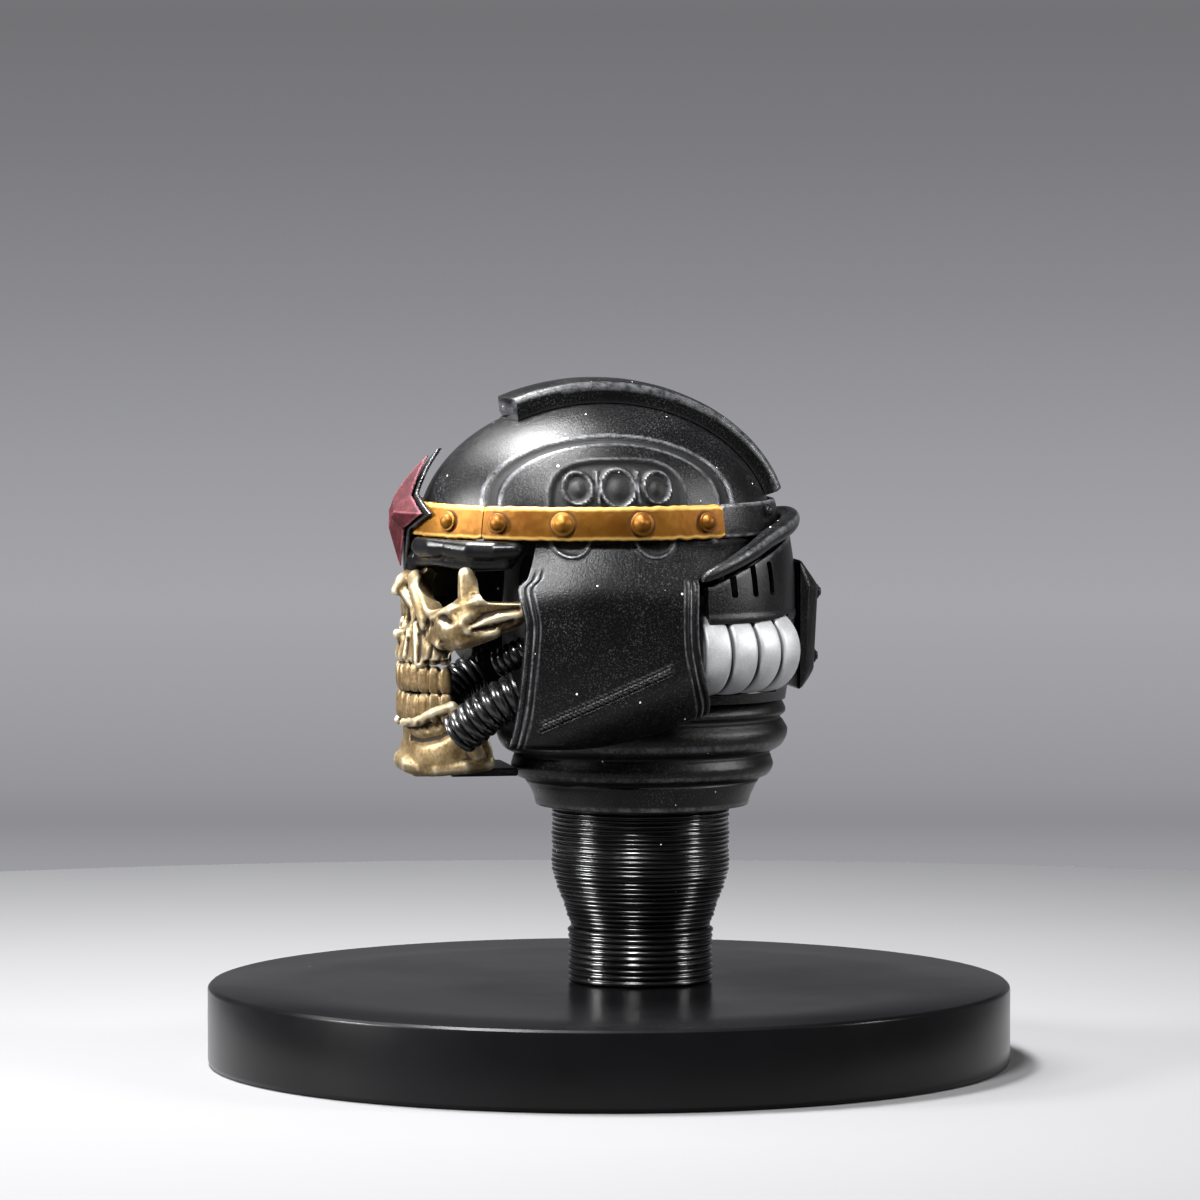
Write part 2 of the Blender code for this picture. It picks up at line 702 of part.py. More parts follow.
def make_block():
    """Tapered block on the nape's centre line, with two studs."""
    half = 0.5 * BLOCK_WIDTH
    seat = NAPE_BACK_Y + GAP
    # share of BLOCK_HEIGHT from the middle, share of BLOCK_DEPTH
    outline = ((0.50, 0.25), (0.30, 1.0), (-0.36, 0.82), (-0.50, 0.30))
    rings = []
    for share, depth in outline:
        z = BLOCK_Z + BLOCK_HEIGHT * share
        back = seat + BLOCK_DEPTH * depth
        inset = 0.18 * BLOCK_WIDTH
        rings.append([(half, seat, z), (half, 0.5 * (seat + back), z),
                      (half - inset, back, z), (inset - half, back, z),
                      (-half, 0.5 * (seat + back), z), (-half, seat, z)])
    add_object("nape_block", loft(rings), BLACK_SHELL, 20)
    for name, share, depth in (("block_stud_upper", 0.24, 0.99), ("block_stud_lower", -0.26, 0.86)):
        bm = bmesh.new()
        bmesh.ops.create_cone(bm, cap_ends=True, segments=16, radius1=0.5 * STUD_DIAMETER,
                              radius2=0.32 * STUD_DIAMETER, depth=0.4 * STUD_DIAMETER)
        back = seat + BLOCK_DEPTH * depth + 0.2 * STUD_DIAMETER + 2 * GAP
        bm.transform(Matrix.Translation((0, back, BLOCK_Z + BLOCK_HEIGHT * share))
                     @ Matrix.Rotation(-0.5 * math.pi, 4, "X"))
        add_object(name, bm, BLACK_SHELL)


# Sections of the collar, top to bottom: share of COLLAR_HEIGHT above its bottom,
# share of COLLAR_WIDTH, share of COLLAR_DEPTH
COLLAR_SECTIONS = (
    (1.000, 0.900, 1.035),
    (0.907, 0.960, 1.060),
    (0.829, 0.950, 1.035),
    (0.713, 1.000, 1.076),
    (0.581, 0.995, 1.035),
    (0.488, 0.955, 0.953),
    (0.380, 0.985, 0.965),
    (0.287, 0.970, 0.930),
    (0.233, 0.950, 0.860),
    (0.101, 0.940, 0.800),
    (0.000, 0.930, 0.776),
)


def make_collar():
    """Stepped neck collar, one ring round the post."""
    count = 26
    rings = []

    def ring(z, half_x, half_y):
        return [(half_x * math.cos(2 * math.pi * i / count),
                 COLLAR_Y + half_y * math.sin(2 * math.pi * i / count), z)
                for i in range(count)]

    for share, wide, deep in COLLAR_SECTIONS:
        rings.append(ring(COLLAR_BOTTOM + COLLAR_HEIGHT * share, 0.5 * COLLAR_WIDTH * wide,
                          0.5 * COLLAR_DEPTH * deep))
    bore = 0.5 * COLLAR_BORE
    rings.append(ring(COLLAR_BOTTOM, bore, bore))
    rings.append(ring(COLLAR_BOTTOM + COLLAR_HEIGHT, 0.5 * COLLAR_WIDTH * COLLAR_SECTIONS[0][1] - 0.5 * WALL,
                      0.5 * COLLAR_DEPTH * COLLAR_SECTIONS[0][2] - WALL))
    add_object("neck_collar", loft(rings, closed=True), BLACK_SHELL, 30)


def face_row(z, front, half, side, columns):
    """A row of points round the face, from +X by the front to -X."""
    row = []
    for j in range(columns + 1):
        turn = math.pi * (j / columns - 0.5)
        row.append((-half * math.sin(turn), side + (front - side) * math.cos(turn), z))
    return row


# Sections of the skull mask: share of MASK_HEIGHT below MASK_TOP, front as a distance
# behind FACE_FRONT, half-width as a share of half FACE_WIDTH, depth of the sides' edge
# behind FACE_FRONT
MASK_SECTIONS = (
    (0.00, 0.090, 0.780, 0.330),
    (0.14, 0.045, 0.850, 0.340),
    (0.32, 0.025, 0.960, 0.355),
    (0.48, 0.040, 1.000, 0.370),
    (0.64, 0.045, 0.880, 0.360),
    (0.73, 0.035, 0.720, 0.230),
    (0.82, 0.020, 0.600, 0.165),
    (1.00, 0.000, 0.520, 0.145),
)


def make_mask():
    """Skull mask: nose bridge, cheek bones and upper jaw, cut for the eyes and the nose."""
    columns = 18
    rows = []
    for i in range(9):
        share = i / 8
        z = MASK_TOP - MASK_HEIGHT * share
        rows.append(face_row(z, FACE_FRONT + FACE_WIDTH * interpolate(MASK_SECTIONS, 1, share),
                             0.5 * FACE_WIDTH * interpolate(MASK_SECTIONS, 2, share),
                             FACE_FRONT + FACE_WIDTH * interpolate(MASK_SECTIONS, 3, share),
                             columns))
    mask = add_object("skull_mask", grid_surface(rows), OLD_GOLD)
    solidify(mask, FACE_WALL)
    for side in (1, -1):
        bm = bmesh.new()
        bmesh.ops.create_uvsphere(bm, u_segments=14, v_segments=8, radius=1.0)
        bm.transform(Matrix.Translation((side * EYE_X, FACE_FRONT + 0.13 * FACE_WIDTH, EYE_Z))
                     @ Matrix.Diagonal((0.5 * EYE_WIDTH, 1.4 * EYE_WIDTH, 0.5 * EYE_HEIGHT, 1)))
        cut(mask, [as_cutter(add_object(f"eye_{side}", bm, None, target=CUTTERS))])
    bm = bmesh.new()
    bmesh.ops.create_cone(bm, cap_ends=True, segments=16, radius1=0.5 * NOSE_WIDTH,
                          radius2=0.5 * NOSE_WIDTH, depth=6 * FACE_WALL)
    for vert in bm.verts:
        vert.co.x *= 1.0 - 0.35 * vert.co.y / (0.5 * NOSE_WIDTH)
    bm.transform(Matrix.Translation((0, FACE_FRONT + FACE_WALL, NOSE_Z))
                 @ Matrix.Rotation(0.5 * math.pi, 4, "X")
                 @ Matrix.Diagonal((1, NOSE_HEIGHT / NOSE_WIDTH, 1, 1)))
    cut(mask, [as_cutter(add_object("nose", bm, None, target=CUTTERS))])


def make_teeth(name, middle_z, height):
    """A row of teeth round the dental arch, one bulge for each tooth."""
    half_angle = 78.0
    rings = []
    shape = ((0.08, 0.72), (0.5, 1.0), (0.92, 0.72))
    for tooth in range(TEETH):
        for share, fullness in shape:
            turn = math.radians(half_angle * (2.0 * (tooth + share) / TEETH - 1.0))
            out = Vector((math.sin(turn), -math.cos(turn), 0.0))
            front = FACE_FRONT + 0.25 * MM
            centre = Vector((0.5 * ARCH_WIDTH * out.x, front + ARCH_DEPTH * (1 + out.y), middle_z))
            thick = TOOTH_THICKNESS * fullness
            tall = 0.5 * height * (0.9 + 0.1 * fullness)
            rings.append([centre + out * deep * thick + Vector((0, 0, high * tall))
                          for deep, high in ((0.0, 0.7), (-0.3, 1.0), (-1.0, 1.0), (-1.0, -1.0),
                                             (-0.3, -1.0), (0.0, -0.7))])
    add_object(name, loft(rings), OLD_GOLD, 35)


# Sections of the jaw: share of JAW_HEIGHT below JAW_TOP, front behind FACE_FRONT,
# half-width as a share of half JAW_WIDTH, depth of the jaw's ends behind FACE_FRONT,
# both depths as shares of JAW_WIDTH
JAW_SECTIONS = (
    (0.00, 0.045, 0.83, 0.40),
    (0.30, 0.040, 0.90, 0.45),
    (0.60, 0.015, 1.00, 0.50),
    (0.88, 0.035, 0.97, 0.52),
    (1.00, 0.110, 0.86, 0.52),
)


def make_jaw():
    """Lower jaw of the skull, chin forward."""
    rows = []
    for i in range(6):
        share = i / 5
        rows.append(face_row(JAW_TOP - JAW_HEIGHT * share,
                             FACE_FRONT + JAW_WIDTH * interpolate(JAW_SECTIONS, 1, share),
                             0.5 * JAW_WIDTH * interpolate(JAW_SECTIONS, 2, share),
                             FACE_FRONT + JAW_WIDTH * interpolate(JAW_SECTIONS, 3, share), 14))
    solidify(add_object("skull_jaw", grid_surface(rows), OLD_GOLD), FACE_WALL)


def make_throat():
    """Flat plate that joins the jaw to the neck collar."""
    rear = COLLAR_Y - 0.5 * COLLAR_DEPTH * COLLAR_SECTIONS[6][2] - LOOSE
    front = FACE_FRONT + 0.5 * THROAT_WIDTH
    low = JAW_TOP - 0.95 * JAW_HEIGHT
    bm = bmesh.new()
    bmesh.ops.create_cube(bm, size=1.0)
    size = (THROAT_WIDTH, rear - front, THROAT_THICKNESS)
    bm.transform(Matrix.Translation((0, 0.5 * (front + rear), low + 0.5 * THROAT_THICKNESS))
                 @ Matrix.Diagonal((*size, 1.0)))
    plate = add_object("throat_plate", bm, BLACK_SHELL)
    edge = plate.modifiers.new("edge", "BEVEL")
    edge.width = 0.2 * THROAT_THICKNESS
    edge.segments = 1


def make_brow():
    """Glossy black brow ridge between the band and the eyes."""
    top = BAND_Z - 0.5 * BAND_HEIGHT - GAP
    # share of BROW_HEIGHT below the band, front before the bowl's front, share of
    # BROW_WIDTH, side's edge behind the bowl's front as a share of BROW_WIDTH
    sections = ((0.00, -0.004, 0.97, 0.310), (0.35, 0.022, 1.00, 0.295),
                (0.75, 0.016, 0.98, 0.275), (1.00, -0.025, 0.92, 0.265))
    front = BOWL_Y - 0.5 * BOWL_DEPTH
    rows = []
    for i in range(5):
        share = i / 4
        rows.append(face_row(top - BROW_HEIGHT * share,
                             front - BROW_WIDTH * interpolate(sections, 1, share),
                             0.5 * BROW_WIDTH * interpolate(sections, 2, share),
                             front + BROW_WIDTH * interpolate(sections, 3, share), 14))
    solidify(add_object("brow_ridge", grid_surface(rows), BLACK_GLOSS), WALL)


def make_liner():
    """Black wall behind the mask, between the cheek plates, with two eye holes."""
    rows = []
    levels = 5
    top = BAND_Z - 0.5 * BAND_HEIGHT - GAP
    for i in range(levels + 1):
        z = top + (LINER_BOTTOM - top) * i / levels
        half = side_x(LINER_Y, z) - undercut(LINER_Y, z) - WALL - LINER_CLEARANCE
        rows.append(face_row(z, LINER_Y - LINER_DEPTH, half, LINER_Y, 12))
    liner = add_object("mask_liner", grid_surface(rows), BLACK_SHELL)
    solidify(liner, LINER_WALL)
    for side in (1, -1):
        bm = bmesh.new()
        bmesh.ops.create_cone(bm, cap_ends=True, segments=14, radius1=0.36 * EYE_WIDTH,
                              radius2=0.36 * EYE_WIDTH, depth=8 * LINER_WALL)
        bm.transform(Matrix.Translation((side * EYE_X, LINER_Y - LINER_DEPTH, EYE_Z))
                     @ Matrix.Rotation(0.5 * math.pi, 4, "X"))
        cut(liner, [as_cutter(add_object(f"sight_{side}", bm, None, target=CUTTERS))])


# Middle lines of the left-hand hoses, points chosen by hand along the route: distance in
# from the cheek plate's widest inner face, behind FACE_FRONT and above JAW_TOP, all as
# shares of FACE_WIDTH
LOWER_HOSE_ROUTE = ((0.223, 0.159, -0.023), (0.181, 0.220, 0.032), (0.146, 0.286, 0.087),
                    (0.129, 0.363, 0.128))
UPPER_HOSE_ROUTE = ((0.214, 0.294, 0.219), (0.195, 0.321, 0.232), (0.176, 0.352, 0.249),
                    (0.159, 0.387, 0.268))


def smooth_route(route, along):
    """A point on the curve through a route's points, along from 0 to 1."""
    inner = 0.5 * SIDE_WIDTH - WALL
    points = [Vector((inner - FACE_WIDTH * inward, FACE_FRONT + FACE_WIDTH * behind,
                      JAW_TOP + FACE_WIDTH * above)) for inward, behind, above in route]
    spot = along * (len(points) - 1)
    i = min(int(spot), len(points) - 2)
    t = spot - i
    before = points[max(i - 1, 0)]
    after = points[min(i + 2, len(points) - 1)]
    start, end = points[i], points[i + 1]
    return 0.5 * (2 * start + (end - before) * t + (2 * before - 5 * start + 4 * end - after)
                  * t * t + (3 * start - before - 3 * end + after) * t ** 3)


def make_hose(name, route, radius, ribs):
    """A ribbed hose, a swelling for each rib."""
    rings = []
    for i in range(ribs):
        for share, depth in ((0.1, 1.0), (0.5, 0.0), (0.9, 1.0)):
            spot = (i + share) / ribs
            here = smooth_route(route, spot)
            along = (smooth_route(route, min(spot + 0.02, 1.0))
                     - smooth_route(route, max(spot - 0.02, 0.0))).normalized()
            rings.append(tube_ring(here, along, radius - HOSE_RIB * depth, 8))
    hose = add_object(f"{name}_left", loft(rings), BLACK_GLOSS, 50)
    mirrored(hose, f"{name}_right")


def star(border, lift, depth, rise):
    """A four-pointed star bent round the brow, its back at the given lift."""
    half_x = 0.5 * STAR_WIDTH + border
    half_z = 0.5 * STAR_HEIGHT + border
    reaches = {0: 1.0, 2: STAR_NOTCH}
    rings = []
    for scale, out in ((0.3, 0.0), (1.0, 0.0), (1.0, depth), (0.3, depth + rise)):
        ring = []
        for i in range(16):
            turn = math.pi * i / 8
            reach = scale * reaches.get(i % 4, 0.41 * (1 + STAR_NOTCH))
            x = half_x * reach * math.cos(turn)
            z = STAR_Z + half_z * reach * math.sin(turn)
            ring.append(Vector((x, brow_y(x, z, lift + out), z)))
        rings.append(ring)
    return loft(rings)


def brow_y(x, z, lift):
    """Depth of a surface standing off the bowl's front, carried straight down below it."""
    rise = max(z - BOWL_RIM_Z, 0.0) / (BOWL_HEIGHT + lift)
    side = x / (0.5 * BOWL_WIDTH + lift)
    reach = math.sqrt(max(1.0 - side * side - rise * rise, 0.0))
    return BOWL_Y - (0.5 * BOWL_DEPTH + lift) * reach


def make_star():
    """Red faceted star badge on a black backing of the same outline."""
    seat = 3 * GAP + 0.15 * MM + BAND_THICKNESS
    front = seat + STAR_BACKING + 2 * GAP
    add_object("badge_backing", star(STAR_BORDER, seat, STAR_BACKING, 0.0), BLACK_GLOSS, 20)
    add_object("badge_star", star(0.0, front, 0.5 * STAR_BACKING, STAR_RISE), RED_PAINT, 10)


make_base()
make_post()
make_bowl()
make_comb()
make_band()
make_rivets()
make_cheek_plates()
make_lip()
make_nape()
make_block()
make_collar()
make_mask()
make_teeth("teeth_upper", TEETH_UPPER_Z, TEETH_UPPER_HEIGHT)
make_teeth("teeth_lower", TEETH_LOWER_Z, TEETH_LOWER_HEIGHT)
make_jaw()
make_throat()
make_brow()
make_liner()
make_hose("lower_hose", LOWER_HOSE_ROUTE, HOSE_RADIUS, HOSE_RIBS)
make_hose("upper_hose", UPPER_HOSE_ROUTE, UPPER_HOSE_RADIUS, UPPER_HOSE_RIBS)
make_star()
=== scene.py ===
import math
import bmesh
import bpy
from mathutils import Matrix, Vector, noise


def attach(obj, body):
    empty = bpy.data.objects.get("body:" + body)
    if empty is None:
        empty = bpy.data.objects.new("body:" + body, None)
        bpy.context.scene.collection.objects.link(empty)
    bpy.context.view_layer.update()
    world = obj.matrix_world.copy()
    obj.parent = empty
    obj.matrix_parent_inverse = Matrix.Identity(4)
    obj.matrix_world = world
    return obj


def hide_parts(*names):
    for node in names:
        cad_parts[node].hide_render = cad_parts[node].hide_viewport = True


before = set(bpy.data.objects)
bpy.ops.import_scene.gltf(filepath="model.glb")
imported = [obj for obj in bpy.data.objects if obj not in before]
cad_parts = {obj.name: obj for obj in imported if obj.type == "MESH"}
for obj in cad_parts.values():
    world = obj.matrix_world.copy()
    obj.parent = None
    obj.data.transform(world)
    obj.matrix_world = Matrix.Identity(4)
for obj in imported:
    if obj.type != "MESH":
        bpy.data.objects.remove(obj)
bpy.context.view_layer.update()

# ---- Stand base ------------------------------------------------------------------------
# A 100 mm disc of black cast acrylic, 10 mm thick, turned flat with a fine polished
# chamfer at both rims. Its satin face carries a little dust.
MM = 0.001
GAP = 0.12
BASE_RADIUS = 50.0
BASE_THICKNESS = 10.0
BASE_EDGE = 0.6


def sum_of(operation, swapped=False):
    """A method that joins a value with another value or number in one Math node."""
    def method(self, other):
        both = (other, self) if swapped else (self, other)
        return self.finish.node("Math", {"operation": operation}, dict(enumerate(both)))
    return method


class Wire:
    """One socket of a finish, with the sums that the finishes below are written in."""

    def __init__(self, finish, socket):
        self.finish = finish
        self.socket = socket

    __add__, __radd__ = sum_of("ADD"), sum_of("ADD", True)
    __sub__, __rsub__ = sum_of("SUBTRACT"), sum_of("SUBTRACT", True)
    __mul__, __rmul__ = sum_of("MULTIPLY"), sum_of("MULTIPLY", True)
    __lt__, __gt__ = sum_of("LESS_THAN"), sum_of("GREATER_THAN")
    __truediv__ = sum_of("DIVIDE")


class Finish:
    """A surface's material, or the world, and the one way that nodes are added to it."""

    def __init__(self, name, kind="materials", shader="Principled BSDF"):
        self.material = getattr(bpy.data, kind).new(name)
        self.material.use_nodes = True
        self.tree = self.material.node_tree
        self.shader = self.tree.nodes[shader]

    def node(self, kind, settings=None, sockets=None, output=0):
        made = self.tree.nodes.new("ShaderNode" + kind)
        for key, value in (settings or {}).items():
            if key == "stops":
                ramp = made.color_ramp
                while len(ramp.elements) < len(value):
                    ramp.elements.new(1.0)
                for stop, (place, tone) in zip(ramp.elements, value):
                    stop.position = place
                    stop.color = (*(tone if isinstance(tone, tuple) else (tone,) * 3), 1.0)
            else:
                setattr(made, key, value)
        for key, value in (sockets or {}).items():
            self.set(made.inputs[key], value)
        return Wire(self, made.outputs[output])

    def set(self, socket, value):
        if isinstance(value, Wire):
            self.tree.links.new(value.socket, socket)
        elif value is not None:
            if hasattr(socket.default_value, "__len__") and len(value) < len(socket.default_value):
                value = (*value, 1.0)
            socket.default_value = value

    def place(self):
        return self.node("TexCoord", output="Object")

    def grain(self, scale, detail=3.0, roughness=0.55, stretch=None):
        """Even noise, scale in cycles for each millimetre."""
        vector = self.place()
        if stretch:
            vector = self.node("Mapping", {"vector_type": "TEXTURE"},
                               {"Vector": vector, "Scale": stretch})
        return self.node("TexNoise", None, {"Vector": vector, "Scale": scale / MM,
                                            "Detail": detail, "Roughness": roughness})

    def ramp(self, value, stops):
        return self.node("ValToRGB", {"stops": stops}, {0: value})

    def clouds(self, scale, detail, low, high, roughness=0.55):
        """Noise with its middle range spread out: 0 below low and 1 above high."""
        return self.ramp(self.grain(scale, detail, roughness), ((low, 0.0), (high, 1.0)))

    def specks(self, cell, radius, share):
        """Specks of a radius, one at most for each cell, in a share of the cells."""
        voronoi = {"Vector": self.place(), "Scale": 1.0 / (cell * MM)}
        near = self.node("TexVoronoi", None, voronoi, "Distance")
        pick = self.node("SeparateColor", None,
                         {0: self.node("TexVoronoi", None, voronoi, "Color")}, 0)
        size = self.node("SeparateColor", None,
                         {0: self.node("TexVoronoi", None, voronoi, "Color")}, 1)
        return (near < size * (radius / cell)) * (pick < share)

    def mark(self, name):
        return self.node("Attribute", {"attribute_name": name}, None, "Fac")

    def blend(self, factor, first, second):
        return self.node("Mix", {"data_type": "RGBA"}, {0: factor, 6: first, 7: second}, 2)

    def relief(self, height, strength, distance):
        return self.node("Bump", None, {"Height": height, "Strength": strength,
                                        "Distance": distance * MM})

    def wear(self, colour, roughness, metallic=0.0, normal=None, specular=0.5):
        for name, value in (("Base Color", colour), ("Roughness", roughness), ("Normal", normal),
                            ("Metallic", metallic), ("Specular IOR Level", specular)):
            self.set(self.shader.inputs[name], value)
        return self.material


def stand(bm, label="form"):
    """Stand a form in the scene as an object."""
    mesh = bpy.data.meshes.new(label)
    bm.to_mesh(mesh)
    bm.free()
    made = bpy.data.objects.new(label, mesh)
    bpy.context.scene.collection.objects.link(made)
    return made


def piece(name, bm, surface, node, smooth=35.0):
    """Finish a mesh in millimetres as one object that stands for a node of the frame."""
    bmesh.ops.remove_doubles(bm, verts=bm.verts, dist=0.004)
    bmesh.ops.recalc_face_normals(bm, faces=bm.faces)
    if not any(edge.is_boundary for edge in bm.edges) and bm.calc_volume(signed=True) < 0:
        bmesh.ops.reverse_faces(bm, faces=bm.faces)
    bm.transform(Matrix.Scale(MM, 4))
    made = stand(bm, name)
    made.data.shade_smooth()
    made.data.set_sharp_from_angle(angle=math.radians(smooth))
    made.data.materials.append(surface)
    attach(made, "root")
    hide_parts(node)


def turned(profile, steps):
    """A turned form about the vertical axis, from a profile of radius and height."""
    bm = bmesh.new()
    line = [bm.verts.new((radius, 0.0, z)) for radius, z in profile]
    edges = [bm.edges.new(pair) for pair in zip(line, line[1:])]
    bmesh.ops.spin(bm, geom=line + edges, cent=(0, 0, 0), axis=(0, 0, 1),
                   angle=2 * math.pi, steps=steps, use_merge=True)
    bmesh.ops.remove_doubles(bm, verts=bm.verts, dist=0.002)
    return bm


def acrylic():
    paint = Finish("black_acrylic_satin")
    dust = paint.specks(2.6, 0.11, 0.07)
    haze = paint.clouds(0.035, 4, 0.35, 0.75)
    scuff = paint.grain(0.9, 2, 0.6, (8.0 * MM, 0.5 * MM, 1.0 * MM))
    tone = paint.blend(haze, (0.0016, 0.0016, 0.0018), (0.0035, 0.0035, 0.004))
    tone = paint.blend(dust, tone, (0.20, 0.20, 0.21))
    return paint.wear(tone, 0.20 + haze * 0.08 + dust * 0.3, 0.0,
                      paint.relief(scuff, 0.03, 0.02), 0.16)


edge = BASE_EDGE
base = turned(((0, 0), (BASE_RADIUS - edge, 0), (BASE_RADIUS - 0.3 * edge, 0.25 * edge),
               (BASE_RADIUS, edge), (BASE_RADIUS, BASE_THICKNESS - edge),
               (BASE_RADIUS - 0.12 * edge, BASE_THICKNESS - 0.6 * edge),
               (BASE_RADIUS - 0.6 * edge, BASE_THICKNESS - 0.12 * edge),
               (BASE_RADIUS - edge, BASE_THICKNESS), (BASE_RADIUS - 12, BASE_THICKNESS),
               (0, BASE_THICKNESS)), 256)
piece("acrylic_base", base, acrylic(), "stand_base", 20)

# ---- Post ------------------------------------------------------------------------------
# A glossy black plastic post, moulded with close rings from foot to barrel. A plain rod
# goes on up to a pad under the crown. The helmet drops over it.
POST_Y = 4.0
FOOT_RADIUS, WAIST_RADIUS, BARREL_RADIUS = 9.0, 8.6, 11.05
FOOT_Z, WAIST_Z, BARREL_Z, BARREL_TOP = 10.12, 17.32, 23.82, 33.42
FOOT_PITCH, FINE_PITCH = 0.8, 0.56
ROD_RADIUS, PAD_RADIUS, PAD_THICKNESS, PAD_Z = 4.0, 5.5, 1.6, 78.7


def ringed(low, high, radius_low, radius_high, pitch, depth):
    """Profile points of close moulded rings between two heights."""
    count = round((high - low) / pitch)
    points = []
    for i in range(count):
        worn = 0.10 * math.sin(7.3 * i) * math.sin(2.1 * i + 1.0)
        for share, cut in ((0.06, 1.0), (0.20, 0.35), (0.38, 0.0), (0.62, 0.0),
                           (0.80, 0.35), (0.94, 1.0)):
            along = (i + share) / count
            radius = radius_low + (radius_high - radius_low) * along
            points.append((radius - depth * cut - worn * (1 - cut), low + (high - low) * along))
    return points


def gloss():
    paint = Finish("black_post_gloss")
    dust = paint.specks(1.1, 0.11, 0.16)
    smear = paint.clouds(0.25, 3, 0.4, 0.7)
    tone = paint.blend(dust, (0.0015, 0.0015, 0.0017), (0.50, 0.50, 0.51))
    return paint.wear(tone, 0.17 + smear * 0.12 + dust * 0.3, 0.0,
                      paint.relief(paint.grain(2.5, 2), 0.10, 0.03), 0.4)


profile = [(0.0, FOOT_Z), (FOOT_RADIUS - 0.3, FOOT_Z)]
profile += ringed(FOOT_Z, WAIST_Z - 0.4, FOOT_RADIUS, FOOT_RADIUS, FOOT_PITCH, 0.26)
profile += ringed(WAIST_Z - 0.4, BARREL_Z, WAIST_RADIUS, BARREL_RADIUS, FINE_PITCH, 0.20)
profile += ringed(BARREL_Z, BARREL_TOP, BARREL_RADIUS, BARREL_RADIUS, FINE_PITCH, 0.20)
profile += [(ROD_RADIUS + 0.4, BARREL_TOP), (ROD_RADIUS, BARREL_TOP + 0.4),
            (ROD_RADIUS, PAD_Z - 1.8 * PAD_THICKNESS), (PAD_RADIUS - 0.2, PAD_Z - PAD_THICKNESS),
            (PAD_RADIUS, PAD_Z - PAD_THICKNESS + 0.2), (PAD_RADIUS, PAD_Z - 0.3),
            (PAD_RADIUS - 0.3, PAD_Z), (0.0, PAD_Z)]
post = turned(profile, 96)
post.transform(Matrix.Translation((0, POST_Y, 0)))
piece("ringed_post", post, gloss(), "stand_post", 60)

# ---- Bowl ------------------------------------------------------------------------------
# The helmet's dome, one hollow moulding in satin black with a fine metallic grain. On each
# side an arched groove frames a sunk panel with three plain rings between upright bars.
BOWL_Y, RIM_Z = -1.75, 66.0
BOWL_WIDTH, BOWL_DEPTH, BOWL_HEIGHT = 37.0, 44.5, 17.0
BOWL_BOTTOM, WALL = 67.6, 1.5
ARCH_Y, ARCH_Z, ARCH_LENGTH, ARCH_HEIGHT = -2.6, 70.5, 14.5, 7.8
PANEL_Y, PANEL_Z, PANEL_HALF, PANEL_HEIGHT = -2.1, 70.2, 8.6, 5.8
RELIEF_INNER, RELIEF_TOP = 5.4, 81.0
# The panel's rings and bars, by their distance along it: a place and a radius, or a place
RINGS, RING_Z = ((-5.0, 1.75), (0.0, 2.1), (5.0, 1.75)), 72.6
BARS, BAR_FOOT, BAR_TOP = (-2.55, 2.55), 70.4, 75.0


def marks(bm):
    """The layers dark and bright that carry a mesh's darkened hollows and lightened edges to its
    finish: painted shade and painted highlights on the black and gold pieces, painted shade in the
    silver drum's gaps, the wash and the rubbing on the old gold and the red.
    """
    layers = bm.verts.layers.float
    return [layers.get(name) or layers.new(name) for name in ("dark", "bright")]


def patch(columns, levels, place):
    """A net laid by a rule: place(u, v) gives the point, how dark it is and how bright."""
    bm = bmesh.new()
    bmesh.ops.create_grid(bm, x_segments=columns, y_segments=levels, size=0.5)
    dark, bright = marks(bm)
    for vert in bm.verts:
        vert.co, vert[dark], vert[bright] = place(vert.co.x + 0.5, vert.co.y + 0.5)
    return bm


def step(value, low, high):
    """A smooth rise from 0 at low to 1 at high."""
    share = min(max((value - low) / (high - low), 0.0), 1.0)
    return share * share * (3 - 2 * share)


def line(distance, half):
    """A soft line: 1 in the middle, 0 past its half width."""
    return 1.0 - step(abs(distance), 0.3 * half, half)


def wobble(x, y, z, scale):
    """Smooth noise at a place, scale in waves for each millimetre."""
    return noise.noise(Vector((x * scale, y * scale, z * scale)))


def shell(name="black_shell_satin", sheen=0.28, dusty=0.13):
    """Satin black with metallic grain and white dust, painted shade that darkens grooves and
    hollows, and a painted highlight on edges broken up as rubbing.
    """
    paint = Finish(name)
    fleck = paint.clouds(4.4, 2, 0.55, 0.66, 0.75)
    cloud = paint.clouds(0.14, 4, 0.35, 0.7)
    dust = paint.specks(1.3, 0.17, dusty)
    patchy_lightening = paint.ramp(paint.grain(0.9, 4, 0.7), ((0.40, 0.15), (0.60, 1.0)))
    # The dark mark is painted shade: grooves and hollows go darker, rougher and less metallic. The
    # bright mark is a painted highlight, grey and metallic on edges, broken up in patches as
    # rubbing.
    groove, edge = paint.mark("dark"), paint.mark("bright")
    metallic = fleck * (0.02 + cloud * 0.10)
    tone = paint.blend(metallic, (0.0012, 0.0012, 0.0014), (0.40, 0.405, 0.42))
    tone = paint.blend(edge * patchy_lightening, tone, (0.26, 0.265, 0.28))
    tone = paint.blend(groove, tone, (0.0006, 0.0006, 0.0006))
    tone = paint.blend(dust, tone, (0.75, 0.75, 0.75))
    rough = sheen + cloud * 0.08 + groove * 0.35 - edge * 0.04 + dust * 0.3
    metal = (metallic + edge * patchy_lightening) * (1 - dust) * (1 - groove)
    return paint.wear(tone, rough, metal, paint.relief(paint.grain(3.4, 3, 0.75), 1.0, 0.05), 0.22)


SHELL = shell()


